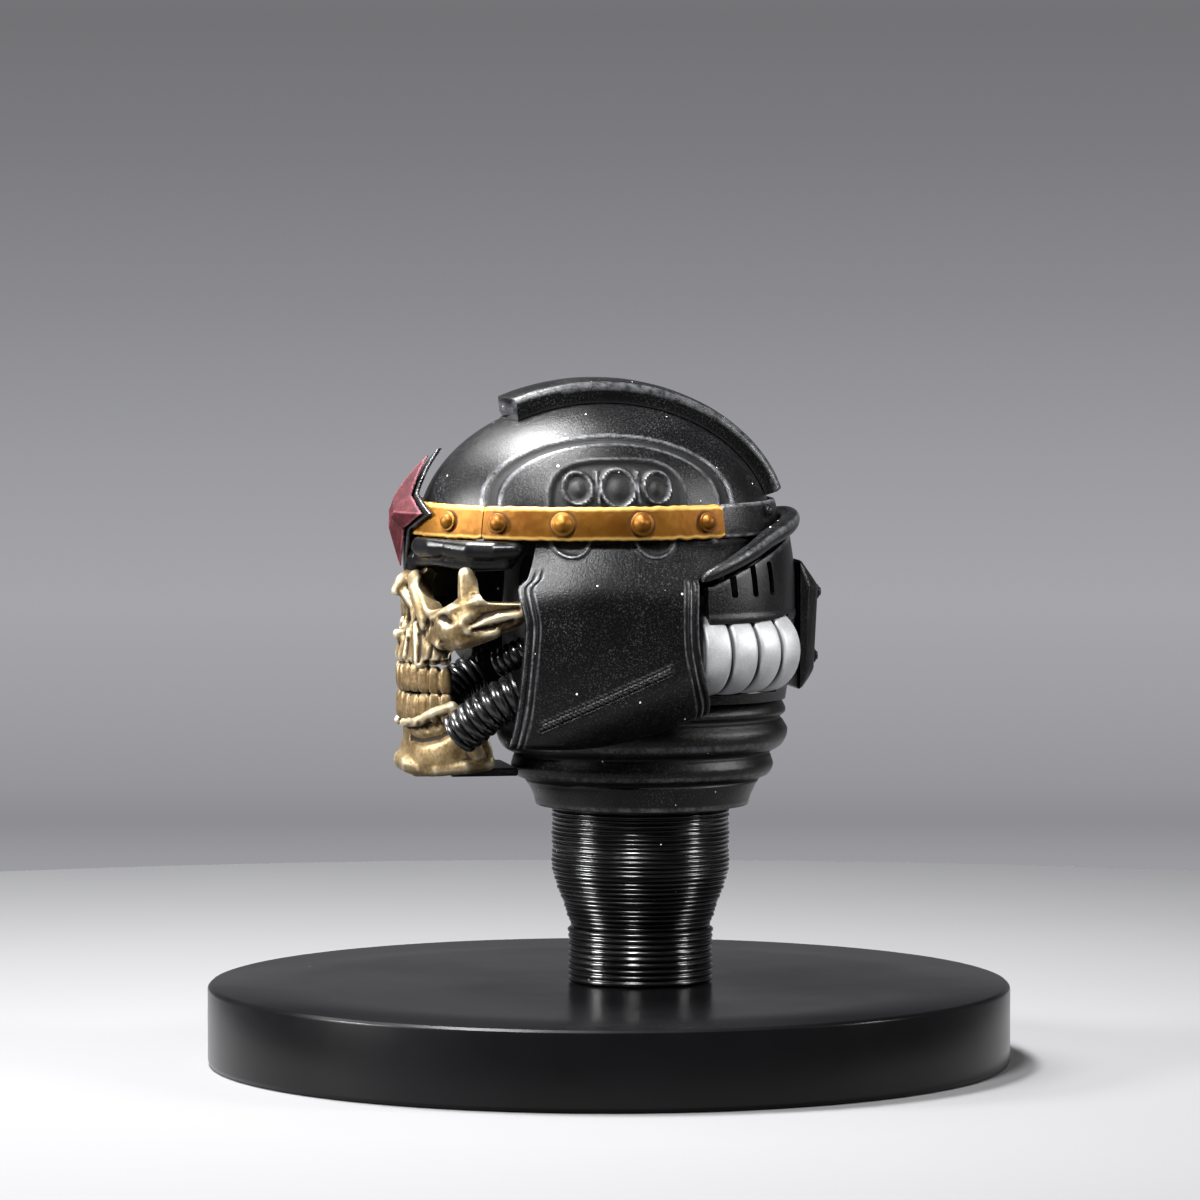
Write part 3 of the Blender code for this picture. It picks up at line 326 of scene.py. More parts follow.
def bowl_relief(point):
    """Relief of the dome's sides at a point: height, painted shade and painted highlight."""
    y, z = point.y, point.z
    height = 0.02 * wobble(point.x, y, z, 0.25)
    dark = bright = 0.0
    if abs(point.x) < RELIEF_INNER or z > RELIEF_TOP:
        return height, dark, bright
    ring = math.hypot((y - ARCH_Y) / ARCH_LENGTH, max(z - ARCH_Z, 0) / ARCH_HEIGHT)
    away = (ring - 1.0) * 9.0
    groove = line(away, 0.50)
    height -= 0.34 * groove
    # Painted shade fills the arched groove, and painted highlights lie on its two lips, one
    # brighter than the other.
    dark = max(dark, line(away, 0.42))
    bright = 0.55 * line(away - 0.60, 0.2) + 0.35 * line(away + 0.60, 0.2)
    across = abs(y - PANEL_Y) / PANEL_HALF
    up = (z - PANEL_Z) / PANEL_HEIGHT
    inside = 1.0 - (across ** 3.2 + max(up, 0.0) ** 2.6) ** (1 / 2.8)
    sunk = step(inside * 6.0, 0.0, 0.45)
    height -= 0.42 * sunk
    # The sunk panel is darkened as painted shade, with a painted highlight round its rim and on the
    # rings and bars.
    dark = max(dark, 0.9 * line(inside * 6.0 - 0.32, 0.5), 0.8 * sunk)
    bright += 0.35 * line(inside * 6.0 + 0.05, 0.2)
    if sunk > 0.5:
        for middle, size in RINGS:
            span = math.hypot(y - PANEL_Y - middle, (z - RING_Z) * 0.92)
            raised = line(span - size, 0.36)
            dome = 1.0 - step(span, 0.2, size - 0.55)
            height += 0.40 * raised + 0.26 * dome
            bright += 0.75 * line(span - size, 0.18)
            dark *= 1 - 0.8 * line(span - size, 0.26) - 0.25 * dome
        for middle in BARS:
            bar = (line(y - PANEL_Y - middle, 0.30) * step(z, BAR_FOOT, BAR_FOOT + 0.6)
                   * (1 - step(z, BAR_TOP - 0.6, BAR_TOP)))
            height += 0.34 * bar
            bright += 0.6 * bar * line(y - PANEL_Y - middle, 0.16)
            dark *= 1 - 0.8 * bar
    return height, min(dark, 1.0), min(bright, 1.0)


def bowl_plan(angle, z, lift):
    """A point round the dome, angle in degrees from the front towards its left side."""
    rise = max(z - RIM_Z, 0.0) / (BOWL_HEIGHT + lift)
    reach = math.sqrt(max(1.0 - rise * rise, 0.0))
    turn = math.radians(angle)
    return Vector(((0.5 * BOWL_WIDTH + lift) * math.sin(turn) * reach,
                   BOWL_Y - (0.5 * BOWL_DEPTH + lift) * math.cos(turn) * reach, z))


def bowl_place(u, v):
    """The dome's skin from the outer crown over the rim to the inner crown."""
    outer = v < 0.80
    along = v / 0.80 if outer else (1.0 - v) / 0.20
    lift = 0.0 if outer else -WALL
    low = math.asin((BOWL_BOTTOM - RIM_Z) / (BOWL_HEIGHT + lift))
    tilt = 0.5 * math.pi + (low - 0.5 * math.pi) * along
    turn = 2 * math.pi * u

    def at(extra):
        wide, deep, tall = (half + lift + extra for half in
                            (0.5 * BOWL_WIDTH, 0.5 * BOWL_DEPTH, BOWL_HEIGHT))
        return Vector((wide * math.sin(turn) * math.cos(tilt),
                       BOWL_Y - deep * math.cos(turn) * math.cos(tilt),
                       RIM_Z + tall * math.sin(tilt)))
    if not outer:
        return at(0.0), 0.0, 0.0
    height, dark, bright = bowl_relief(at(0.0))
    return at(height), dark, bright


piece("dome", patch(420, 120, bowl_place), SHELL, "bowl", 50)

# ---- Comb ------------------------------------------------------------------------------
# A raised comb along the crown, cast in the same black. It starts with a rounded step over
# the brow and runs down to the band at the back. Its upper edges and front end carry a painted
# highlight broken up as rubbing, and its foot a painted shade.
COMB_WIDTH, COMB_RISE, COMB_CORNER = 10.0, 2.6, 0.7
COMB_FRONT, COMB_BACK = 124.0, 17.0
COMB_LENGTH, COMB_FACE, COMB_FOOT = 46.0, -13.6, 80.0


def bowl_arch(x, angle, lift):
    """A point over the dome at width x, angle in degrees up from the back."""
    reach = math.sqrt(max(1.0 - (x / (0.5 * BOWL_WIDTH + lift)) ** 2, 0.0))
    turn = math.radians(angle)
    return Vector((x, BOWL_Y + (0.5 * BOWL_DEPTH + lift) * math.cos(turn) * reach,
                   RIM_Z + (BOWL_HEIGHT + lift) * math.sin(turn) * reach))


def bar_section(share, half, low, high, corner):
    """A flat bar's section at a share of its way round: across, up, nearness to a corner."""
    under = 0.30
    if share < under:
        return half - 2 * half * share / under, low, 0.0
    side, top, bend = high - low - corner, 2 * (half - corner), 0.5 * math.pi * corner
    at = (share - under) / (1 - under) * (2 * side + top + 2 * bend)
    if at < side:
        return -half, low + at, step(at, side - 0.3, side)
    at -= side
    middle, level = half - corner, high - corner
    if at < bend:
        turn = at / corner
        return -middle - corner * math.cos(turn), level + corner * math.sin(turn), 1.0
    at -= bend
    if at < top:
        near = max(1 - step(at, 0.0, 0.35), 1 - step(top - at, 0.0, 0.35))
        return at - middle, high, near
    at -= top
    if at < bend:
        turn = at / corner
        return middle + corner * math.sin(turn), level + corner * math.cos(turn), 1.0
    return half, max(level - (at - bend), low), 0.0


def comb_place(u, v):
    """The comb's skin: u round its section, v from its blunt front to the back."""
    angle = COMB_FRONT + (COMB_BACK - COMB_FRONT) * v
    end = min(v, 1.0 - v) * COMB_LENGTH
    rise = COMB_RISE * (1.0 - 0.18 * v)
    drop = 1.0 if v < 0.5 else 0.5
    if end < drop:
        rise -= drop - math.sqrt(max(drop ** 2 - (drop - end) ** 2, 0.0))
    x, lift, near = bar_section(u, 0.5 * COMB_WIDTH, GAP, rise, min(COMB_CORNER, 0.9 * rise))
    lift += 0.03 * wobble(x, angle * 0.2, lift, 0.7) * (lift > 2 * GAP)
    low = 1 - step(lift, 0.1, 0.55)
    near = max(near, (1 - step(end, 0.2, 1.0)) * (v < 0.5))
    spot = bowl_arch(x, angle, lift)
    spot.y = max(spot.y, COMB_FACE + 0.05 * x * x - 0.08 * (spot.z - COMB_FOOT))
    # Painted shade along the foot, painted highlight on the upper edges and the front end.
    return spot, 0.9 * low, 0.2 * near


def closed_ends(bm):
    """Close the open ends of a swept form."""
    bmesh.ops.remove_doubles(bm, verts=bm.verts, dist=0.004)
    bmesh.ops.holes_fill(bm, edges=[e for e in bm.edges if e.is_boundary], sides=0)
    return bm


piece("crown_comb", closed_ends(patch(72, 180, comb_place)), SHELL, "comb", 50)

# ---- Band and rivets -------------------------------------------------------------------
# A riveted strip round the dome: three lengths in brush-painted gold in front and at the
# sides, one thinner black length round the back. The paint's edges are a little uneven.
BAND_Z, BAND_HEIGHT, BAND_THICKNESS, BAND_REAR = 68.3, 4.1, 0.9, 0.55
BAND_JOINT, BAND_END, BAND_SPLIT = 44.0, 124.0, 0.4
BAND_UNDER = BAND_Z - 0.5 * BAND_HEIGHT - GAP
BAND_SEAT, BAND_WAVE, BAND_ARC = GAP + 0.15, 0.16, 0.36
RIVET_ANGLES = (30.0, 50.0, 71.0, 95.0, 117.0)


def gold():
    paint = Finish("gold_brushed_paint")
    streak = paint.grain(1.3, 4, 0.65, (2.2 * MM, 2.2 * MM, 0.35 * MM))
    mottle = paint.clouds(0.16, 4, 0.36, 0.66, 0.6)
    groove, edge = paint.mark("dark"), paint.mark("bright")
    tone = paint.blend(mottle, (0.100, 0.036, 0.0022), (0.190, 0.085, 0.009))
    stroked = paint.ramp(streak, ((0.42, 0.0), (0.68, 0.7)))
    tone = paint.blend(stroked, tone, (0.12, 0.038, 0.002))
    # The bright mark is a painted highlight, pale gold on the band's edges; the dark mark is
    # painted shade round the rivets.
    tone = paint.blend(edge, tone, (0.66, 0.40, 0.11))
    tone = paint.blend(groove, tone, (0.045, 0.018, 0.006))
    return paint.wear(tone, 0.33 + streak * 0.18 + groove * 0.3, 0.60 * (1 - groove * 0.6),
                      paint.relief(streak + paint.grain(5.0, 2) * 0.4, 0.30, 0.05), 0.20)


GOLD = gold()


def band_place(start, end, thick, wavy, rivets):
    """The rule of one band length between two plan angles."""
    def place(u, v):
        angle = start + (end - start) * v
        half = 0.5 * BAND_HEIGHT
        across, lift, near = bar_section(u, half, BAND_SEAT, thick, 0.30 * (thick - BAND_SEAT))
        edge = (end - start) * min(v, 1 - v) * BAND_ARC
        round_off = 1 - 0.10 * (1 - step(edge, 0.0, 0.7)) ** 2
        z = BAND_Z + across * round_off
        z += wavy * wobble(angle * 0.35, 3.0 + (across > 0), 0.0, 1.0) * abs(across) / half
        if lift > 0.8 * thick:
            lift += wavy * 0.15 * wobble(angle * 0.5, across, 1.0, 1.0)
        # Painted shade in a ring round each rivet's foot, and a painted highlight on the band's
        # rounded edges away from the rivets.
        dark = 0.0
        for spot, size in rivets:
            away = math.hypot((angle - spot) * BAND_ARC, across)
            dark = max(dark, 0.75 * line(away - size, 0.28))
        return bowl_plan(angle, z, lift), dark, 0.7 * near * (dark < 0.1)
    return place


def rivet(form, seat, angle, z):
    """Stand a turned rivet on the dome's slope."""
    foot = bowl_plan(angle, z, seat)
    out = Vector((foot.x / (0.5 * BOWL_WIDTH) ** 2, (foot.y - BOWL_Y) / (0.5 * BOWL_DEPTH) ** 2,
                  (foot.z - RIM_Z) / BOWL_HEIGHT ** 2)).normalized()
    turn = out.to_track_quat("Z", "Y").to_matrix().to_4x4()
    form.transform(Matrix.Translation(foot + out * GAP) @ turn)
    return form


def rivet_form(large):
    """A flanged rivet: a peaked dome when large, else a low round head."""
    if large:
        return turned(((0, 0), (1.42, 0), (1.46, 0.10), (1.36, 0.20), (1.16, 0.24), (1.06, 0.30),
                       (0.96, 0.46), (0.78, 0.66), (0.52, 0.86), (0.24, 1.00), (0.0, 1.04)), 40)
    return turned(((0, 0), (1.16, 0), (1.22, 0.08), (1.14, 0.16), (0.98, 0.18), (0.92, 0.26),
                   (0.84, 0.46), (0.64, 0.68), (0.34, 0.83), (0.0, 0.88)), 36)


def band(name, node, surface, steps, rule):
    piece(name, closed_ends(patch(64, steps, rule)), surface, node, 50)


thick = BAND_SEAT + BAND_THICKNESS
spots = [(spot, 1.45 if i in (2, 3) else 1.2) for i, spot in enumerate(RIVET_ANGLES)]
front = [(spot * side, size) for spot, size in spots[:1] for side in (1, -1)]
band("gold_band_front", "band_front", GOLD, 200,
     band_place(-BAND_JOINT, BAND_JOINT, thick, BAND_WAVE, front))
for name, side in (("left", 1), ("right", -1)):
    reach = [(spot * side, size) for spot, size in spots[1:]]
    band(f"gold_band_{name}", f"band_{name}", GOLD, 190,
         band_place(side * (BAND_JOINT + BAND_SPLIT), side * BAND_END, thick, BAND_WAVE, reach))
    for i, (spot, size) in enumerate(spots, start=1):
        head = rivet(rivet_form(size > 1.3), thick + GAP, side * spot, BAND_Z)
        piece(f"gold_rivet_{name}_{i}", head, GOLD, f"rivet_{name}_{i}")
    small = rivet_form(False)
    small.transform(Matrix.Diagonal((0.72, 0.72, 0.72, 1)))
    small = rivet(small, BAND_SEAT + BAND_REAR + GAP, side * 150.0, BAND_Z + 0.2 * BAND_HEIGHT)
    piece(f"black_rivet_{name}", small, SHELL, f"rivet_rear_{name}")
band("black_band_rear", "band_rear", SHELL, 220,
     band_place(BAND_END + BAND_SPLIT, 360 - BAND_END - BAND_SPLIT, BAND_SEAT + BAND_REAR,
                0.05, []))

# ---- Cheek plates ----------------------------------------------------------------------
# The helmet's sides below the band, cast in the same satin black. A double groove borders
# the front and rear edges, a double line follows the fold, and the skin turns under it.
SIDE_FLARE, SIDE_REACH, SIDE_TOP, SIDE_HEIGHT, SIDE_UNDERCUT = 3.0, 5.75, 67.25, 27.0, 3.2
SIDE_DEPTH = BOWL_DEPTH + 2 * SIDE_REACH
SIDE_SECTIONS = ((0.00, -0.03, -0.02, 2.00), (0.05, -0.02, -0.01, 2.00), (0.10, 0.20, 0.16, 2.10),
                 (0.20, 0.64, 0.51, 2.25), (0.29, 0.93, 0.78, 2.40), (0.38, 1.00, 0.90, 2.50),
                 (0.65, 0.92, 1.00, 2.50), (1.00, 0.46, 0.86, 2.50))
SIDE_EDGES = ((0.000, -0.350, 0.760), (0.060, -0.375, 0.655), (0.120, -0.395, 0.545),
              (0.175, -0.415, 0.430), (0.210, -0.432, 0.330), (0.245, -0.466, 0.322),
              (0.310, -0.462, 0.317), (0.410, -0.446, 0.314), (0.550, -0.454, 0.320),
              (0.680, -0.464, 0.342), (0.780, -0.474, 0.366), (0.880, -0.488, 0.392),
              (0.970, -0.506, 0.400))
SIDE_REAR_LIFT, SIDE_SAG = 0.13, 0.065
# Lines by their distance from an edge or the fold, and the half discs under the band
EDGE_LINES, FOLD_LINES = (0.75, 1.50), ((0.55, 0.22), (1.45, 0.18))
DISCS, DISC_Z = ((-8.2, 2.35), (2.2, 2.5)), 66.6


def reading(table, column, at):
    """A smooth reading of one column of a table between its rows."""
    if at <= table[0][0]:
        return table[0][column]
    for i in range(len(table) - 1):
        low, high = table[i], table[i + 1]
        if at <= high[0]:
            before, after = table[max(i - 1, 0)], table[min(i + 2, len(table) - 1)]
            span = high[0] - low[0]
            t = (at - low[0]) / span
            rise_low = (high[column] - before[column]) / max(high[0] - before[0], 1e-6) * span
            rise_high = (after[column] - low[column]) / max(after[0] - low[0], 1e-6) * span
            return (low[column] * (2 * t ** 3 - 3 * t * t + 1) + rise_low * (t ** 3 - 2 * t * t + t)
                    + high[column] * (3 * t * t - 2 * t ** 3) + rise_high * (t ** 3 - t * t))
    return table[-1][column]


def side_section(z):
    """Half width, half depth and roundness of the helmet's plan at a height."""
    share = (SIDE_TOP - z) / SIDE_HEIGHT
    return (0.5 * BOWL_WIDTH + SIDE_FLARE * reading(SIDE_SECTIONS, 1, share),
            0.5 * BOWL_DEPTH + SIDE_REACH * reading(SIDE_SECTIONS, 2, share),
            reading(SIDE_SECTIONS, 3, share))


def side_x(y, z):
    """Half the helmet's width below the band, less the turn under its fold."""
    half, reach, power = side_section(z)
    run = min(abs(y - BOWL_Y) / reach, 1.0)
    fold = side_fold(y)
    below = max(fold - z, 0.0) / (0.24 * SIDE_HEIGHT)
    return (half * (1.0 - run ** power) ** (1.0 / power)
            - SIDE_UNDERCUT * min(below * below, 1.6))


def side_fold(y):
    """Height of the slanting fold, where the skin starts to turn under."""
    run = (y - (BOWL_Y - 0.23 * SIDE_DEPTH)) / (0.375 * SIDE_DEPTH)
    return SIDE_TOP - SIDE_HEIGHT * (0.955 - 0.34 * run)


def cheek_place(u, v):
    """The left cheek plate: u from front to rear, v from the band to the lower edge."""
    last = SIDE_EDGES[-1][0]
    share = last * v ** 1.15
    z = SIDE_TOP - SIDE_HEIGHT * share
    front = BOWL_Y + 0.5 * SIDE_DEPTH * reading(SIDE_EDGES, 1, share)
    rear = BOWL_Y + 0.5 * SIDE_DEPTH * reading(SIDE_EDGES, 2, share)
    y = front + (rear - front) * u
    low = SIDE_HEIGHT * (share / last) ** 3
    z += low * (SIDE_REAR_LIFT * u - SIDE_SAG * math.sin(math.pi * u))
    height = 0.05 * wobble(4.0, y, z, 0.16)
    # dark is painted shade in the border and fold grooves and round the half discs; bright is a
    # painted highlight on one lip of each groove, on the plate's front and rear edges and round the
    # discs.
    dark = bright = 0.0
    from_front, from_rear = y - front, rear - y
    below_wing = step(share, 0.20, 0.25)
    for away, start in ((from_front, step(share, 0.14, 0.22)), (from_rear, below_wing)):
        height += 0.20 * (1 - step(away, 1.35, 1.8)) * start
        for middle in EDGE_LINES:
            cut = line(away - middle, 0.22) * start
            height -= 0.20 * cut
            dark = max(dark, 0.95 * cut)
            bright += 0.55 * line(away - middle - 0.24, 0.14) * start
        bright += 0.6 * (1 - step(away, 0.02, 0.22)) * start
    above = z - side_fold(y)
    inset = step(from_front, 2.6, 3.4) * step(from_rear, 3.4, 4.4)
    for middle, depth in FOLD_LINES:
        cut = line(above - middle, 0.22) * inset
        height -= depth * cut
        dark = max(dark, 0.9 * cut)
        bright += 0.7 * line(above - middle - 0.24, 0.15) * inset
    height += 0.10 * line(above - 1.0, 0.42) * inset
    for spot, size in DISCS:
        span = math.hypot(y - spot, (z - DISC_Z) * 1.02)
        if z < DISC_Z - 0.3:
            disc = line(span - size, 0.36)
            height += 0.24 * disc - 0.14 * (1 - step(span, size - 0.6, size - 0.2))
            bright += 0.55 * line(span - size - 0.02, 0.16)
            dark = max(dark, 0.8 * line(span - size + 0.42, 0.26),
                       0.6 * line(span - size - 0.42, 0.2))
    hem = 1 - step(v, 0.985, 1.0)
    return Vector((side_x(y, z) + height - 0.3 * (1 - hem), y, z)), dark, min(bright, 1.0)


def walled(bm, thickness):
    """Give a net a wall on its inner side."""
    bmesh.ops.recalc_face_normals(bm, faces=bm.faces)
    middle = sum((f.calc_center_median() for f in bm.faces), Vector()) / len(bm.faces)
    away = sum(f.normal.dot(f.calc_center_median() - Vector((0, -1, middle.z))) for f in bm.faces)
    if away < 0:
        bmesh.ops.reverse_faces(bm, faces=bm.faces)
    bmesh.ops.solidify(bm, geom=bm.faces[:], thickness=thickness)
    bmesh.ops.recalc_face_normals(bm, faces=bm.faces)
    return bm


def mirror(bm):
    """Turn a left-hand form into the right-hand one."""
    bm.transform(Matrix.Diagonal((-1, 1, 1, 1)))
    bmesh.ops.reverse_faces(bm, faces=bm.faces)
    return bm


def pair(name, form, surface, node, slot, smooth):
    """Two pieces: the left-hand form and its mirror image on the right."""
    for side in ("left", "right"):
        made = form() if side == "left" else mirror(form())
        piece(f"{name}_{side}", made, surface, f"{node}_{side}", smooth)


pair("cheek", lambda: walled(patch(134, 134, cheek_place), WALL), SHELL, "cheek_plate",
     "black_shell", 50)

# ---- Nape lip --------------------------------------------------------------------------
# A thick flange that runs round the back under the band and thins to a point on each cheek
# plate. It is cast on the helmet, so it has the same black skin.
LIP_RADIUS, LIP_TIP, LIP_Z, LIP_DROP, LIP_ANGLE = 1.25, 0.5, 67.9, 6.2, 72.0


def lip_place(u, v):
    """The flange: u round its section, v from the right-hand tip round the back."""
    angle = LIP_ANGLE * (2 * v - 1)
    taper = math.sqrt(max(1.0 - (abs(angle) / LIP_ANGLE) ** 3, 0.0))
    radius = LIP_TIP + (LIP_RADIUS - LIP_TIP) * taper
    turn = math.radians(angle)
    z = LIP_Z - LIP_DROP * (abs(angle) / LIP_ANGLE) ** 1.7
    half, reach, roundness = side_section(z)
    power = 2.0 / roundness
    x = math.copysign(abs(math.sin(turn)) ** power, turn)
    y = max(math.cos(turn), 0.0) ** power
    out = Vector((x / half, y / reach, 0.0)).normalized()
    spin = 2 * math.pi * u
    centre = Vector((x * half, BOWL_Y + y * reach, z)) + out * (BAND_REAR + 3 * GAP + radius)
    wide = 1.0 + 0.12 * math.sin(spin + 0.6) ** 4
    point = centre + (out * math.cos(spin) * wide + Vector((0, 0, 1)) * math.sin(spin)) * radius
    # A painted highlight along the flange's upper outer side.
    top = line(math.cos(spin) - 0.86, 0.2) * (math.sin(spin) > 0)
    return point, 0.0, 0.5 * top * taper


piece("nape_flange", closed_ends(patch(40, 220, lip_place)), SHELL, "nape_lip", 60)

# ---- Nape panel ------------------------------------------------------------------------
# The back of the helmet under the flange: a black moulded panel with three slots a side and
# a long window where the canister sits.
NAPE_WIDTH, NAPE_BACK, NAPE_Y, NAPE_TOP, NAPE_HEIGHT = 37.4, 22.9, 2.0, 66.2, 20.7
NAPE_POWER, NAPE_TURN = 2.0 / 2.35, 74.0
NAPE_SECTIONS = ((0.00, 0.850, 0.975), (0.20, 0.940, 1.000), (0.50, 0.985, 1.000),
                 (0.75, 0.955, 0.985), (1.00, 0.780, 0.955))
SLOT_WIDTH, SLOT_CUT, SLOT_HEIGHT, SLOT_Z, SLOT_ANGLES = 0.9, 9.0, 4.2, 61.0, (44.0, 54.0, 64.0)
CAN_RADIUS, CAN_GROOVE, CAN_DISCS, CAN_LENGTH, CAN_Z = 5.3, 0.75, 4, 12.6, 52.0
CAN_TURNS = (10.0, 46.0)
CAN_START = Vector((0.5 * NAPE_WIDTH - CAN_RADIUS + 0.9, NAPE_Y + CAN_RADIUS, CAN_Z))


def nape_point(angle, z, lift=0.0):
    """A point of the back wall, angle in degrees from the back towards the left."""
    share = (NAPE_TOP - z) / NAPE_HEIGHT
    half = 0.5 * NAPE_WIDTH * reading(NAPE_SECTIONS, 1, share) + lift
    reach = (NAPE_BACK - NAPE_Y) * reading(NAPE_SECTIONS, 2, share) + lift
    turn = math.radians(angle)
    x = math.copysign(abs(math.sin(turn)) ** NAPE_POWER, turn)
    return Vector((x * half, NAPE_Y + abs(math.cos(turn)) ** NAPE_POWER * reach, z))


def can_station(along):
    """Centre and direction of the canister's bent axis."""
    here = CAN_START.copy()
    for i in range(20):
        turn = math.radians(CAN_TURNS[0] + (CAN_TURNS[1] - CAN_TURNS[0]) * along * (i + 0.5) / 20)
        here += Vector((-math.sin(turn), math.cos(turn), 0)) * CAN_LENGTH * along / 20
    turn = math.radians(CAN_TURNS[0] + (CAN_TURNS[1] - CAN_TURNS[0]) * along)
    return here, Vector((-math.sin(turn), math.cos(turn), 0))


def tube_spot(centre, way, share, radius):
    """A point on the ring of a tube, at a share of its way round."""
    side = way.cross(Vector((0, 0, 1))).normalized()
    up = side.cross(way).normalized()
    spin = 2 * math.pi * share
    return centre + (side * math.cos(spin) + up * math.sin(spin)) * radius


def can_place(profile, extra):
    """The rule of a bent drum: profile gives radius and place along at a share."""
    def place(u, v):
        along, radius, dark = profile(v)
        return tube_spot(*can_station(along), u, radius + extra), dark, 0.0
    return place


def window_profile(v):
    """The window's cutter, a little longer than the drum."""
    return -0.005 + 1.01 * v, CAN_RADIUS, 0.0


def reshaped(body, *tools):
    """The form that an object's modifiers give. The object and its tools go."""
    bpy.context.view_layer.update()
    done = bmesh.new()
    done.from_mesh(body.evaluated_get(bpy.context.evaluated_depsgraph_get()).to_mesh())
    for made in (body, *tools):
        bpy.data.objects.remove(made, do_unlink=True)
    return done


def carved(bm, cutters):
    """Cut closed forms out of a closed form."""
    body = stand(bm)
    tools = [stand(cutter) for cutter in cutters]
    for tool in tools:
        cut = body.modifiers.new("cut", "BOOLEAN")
        cut.operation = "DIFFERENCE"
        cut.solver = "MANIFOLD"
        cut.object = tool
    return reshaped(body, *tools)


def fused(bm, cell):
    """Fuse overlapping forms into one skin of even faces."""
    form = stand(bm)
    skin = form.modifiers.new("skin", "REMESH")
    skin.mode = "VOXEL"
    skin.voxel_size = cell
    return reshaped(form)


def rounded(bm, edges, offset):
    """Round some edges of a form, and turn all its faces outwards."""
    bmesh.ops.bevel(bm, geom=edges, offset=offset, offset_type="OFFSET", affect="EDGES",
                    segments=4, profile=0.5, material=-1)
    bmesh.ops.recalc_face_normals(bm, faces=bm.faces)


def nape_place(u, v):
    """The back wall: u from its right end to its left, v down from under the flange."""
    angle = NAPE_TURN * (2 * u - 1)
    lip_z = LIP_Z - LIP_DROP * min(abs(angle) / LIP_ANGLE, 1.0) ** 1.7
    top = min(NAPE_TOP, lip_z - LIP_RADIUS - GAP)
    z = top + (NAPE_TOP - NAPE_HEIGHT - top) * v
    point = nape_point(angle, z)
    rim = 0.0
    if point.y > CAN_START.y - 1.0:
        rim = line(abs(point.z - CAN_Z) - CAN_RADIUS * 0.80, 0.7)
    lift = 0.18 * rim + 0.04 * wobble(point.x, point.y, point.z, 0.2)
    # A painted highlight along the panel's top edge under the flange, broken up as rubbing in its
    # finish.
    return nape_point(angle, z, lift), 0.0, 0.35 * line(v - 0.01, 0.02)


cutters = []
for side in (1, -1):
    window = closed_ends(patch(64, 24, can_place(window_profile, GAP)))
    if side < 0:
        mirror(window)
    bmesh.ops.recalc_face_normals(window, faces=window.faces)
    cutters.append(window)
    for angle in SLOT_ANGLES:
        slot = bmesh.new()
        spot = nape_point(angle * side, SLOT_Z)
        turn = math.atan2(spot.x, spot.y - NAPE_Y)
        bmesh.ops.create_cube(slot, size=1.0)
        slot.transform(Matrix.Translation(spot) @ Matrix.Rotation(-turn, 4, "Z")
                       @ Matrix.Diagonal((SLOT_WIDTH, SLOT_CUT, SLOT_HEIGHT, 1)))
        through = [e for e in slot.edges if abs(e.verts[0].co.z - e.verts[1].co.z) < 0.01
                   and abs(e.calc_length() - SLOT_CUT) < 0.1]
        rounded(slot, through, 0.36)
        cutters.append(slot)
nape = walled(patch(230, 84, nape_place), WALL)
piece("nape_shell", carved(nape, cutters), SHELL, "nape_panel", 40)

# ---- Canisters -------------------------------------------------------------------------
# A drum of four bulging discs lies in each window of the nape panel. It is sprayed matt
# silver, with painted shade in the gaps between the discs.


def can_profile(v):
    """A drum of bulging discs: place along, radius, and the painted shade in the gaps."""
    spot = v * CAN_DISCS
    disc = min(int(spot), CAN_DISCS - 1)
    share = spot - disc
    edge = min(share, 1 - share)
    groove = 1.0 - math.sqrt(max(1 - (1 - min(edge / 0.17, 1.0)) ** 2, 0.0))
    crown = 0.10 * (2 * share - 1) ** 2
    dark = 1 - step(edge, 0.02, 0.10)
    if v < 0.01 or v > 0.99:
        dark = 0.0
    return (disc + 0.01 + 0.98 * share) / CAN_DISCS, CAN_RADIUS - CAN_GROOVE * groove - crown, dark


def silver():
    paint = Finish("silver_matt_paint")
    fine = paint.grain(4.5, 3, 0.7)
    cloud = paint.clouds(0.3, 4, 0.35, 0.7)
    groove = paint.mark("dark")
    tone = paint.blend(cloud, (0.30, 0.304, 0.312), (0.40, 0.404, 0.41))
    tone = paint.blend(paint.ramp(fine, ((0.5, 0.0), (0.7, 0.5))), tone, (0.52, 0.52, 0.53))
    # Painted shade: near black in the gaps between the discs.
    tone = paint.blend(groove, tone, (0.006, 0.012, 0.013))
    return paint.wear(tone, 0.46 + cloud * 0.1 + groove * 0.3, 0.35 * (1 - groove),
                      paint.relief(fine, 0.25, 0.04))


pair("silver_drum", lambda: closed_ends(patch(72, 96, can_place(can_profile, 0.0))), silver(),
     "canister", "silver_paint", 60)

# ---- Nape block ------------------------------------------------------------------------
# A tapered black block fixed on the middle of the nape, with two turned studs that stand
# out of its back face.
BLOCK_WIDTH, BLOCK_DEPTH, BLOCK_HEIGHT, BLOCK_Z, STUD_RADIUS = 9.0, 3.0, 16.0, 54.6, 0.9
seat = NAPE_BACK + GAP
block = bmesh.new()
for share, depth in ((0.50, 0.25), (0.30, 1.0), (-0.36, 0.82), (-0.50, 0.30)):
    z = BLOCK_Z + BLOCK_HEIGHT * share
    back = seat + BLOCK_DEPTH * depth
    for side in (1, -1):
        block.verts.new((side * 0.5 * BLOCK_WIDTH, seat, z))
        block.verts.new((side * 0.5 * BLOCK_WIDTH, 0.5 * (seat + back), z))
        block.verts.new((side * 0.32 * BLOCK_WIDTH, back, z))
bmesh.ops.convex_hull(block, input=block.verts)
bmesh.ops.dissolve_limit(block, angle_limit=0.02, verts=block.verts, edges=block.edges)
rounded(block, block.edges[:], 0.35)
piece("clip_block", block, SHELL, "nape_block", 40)
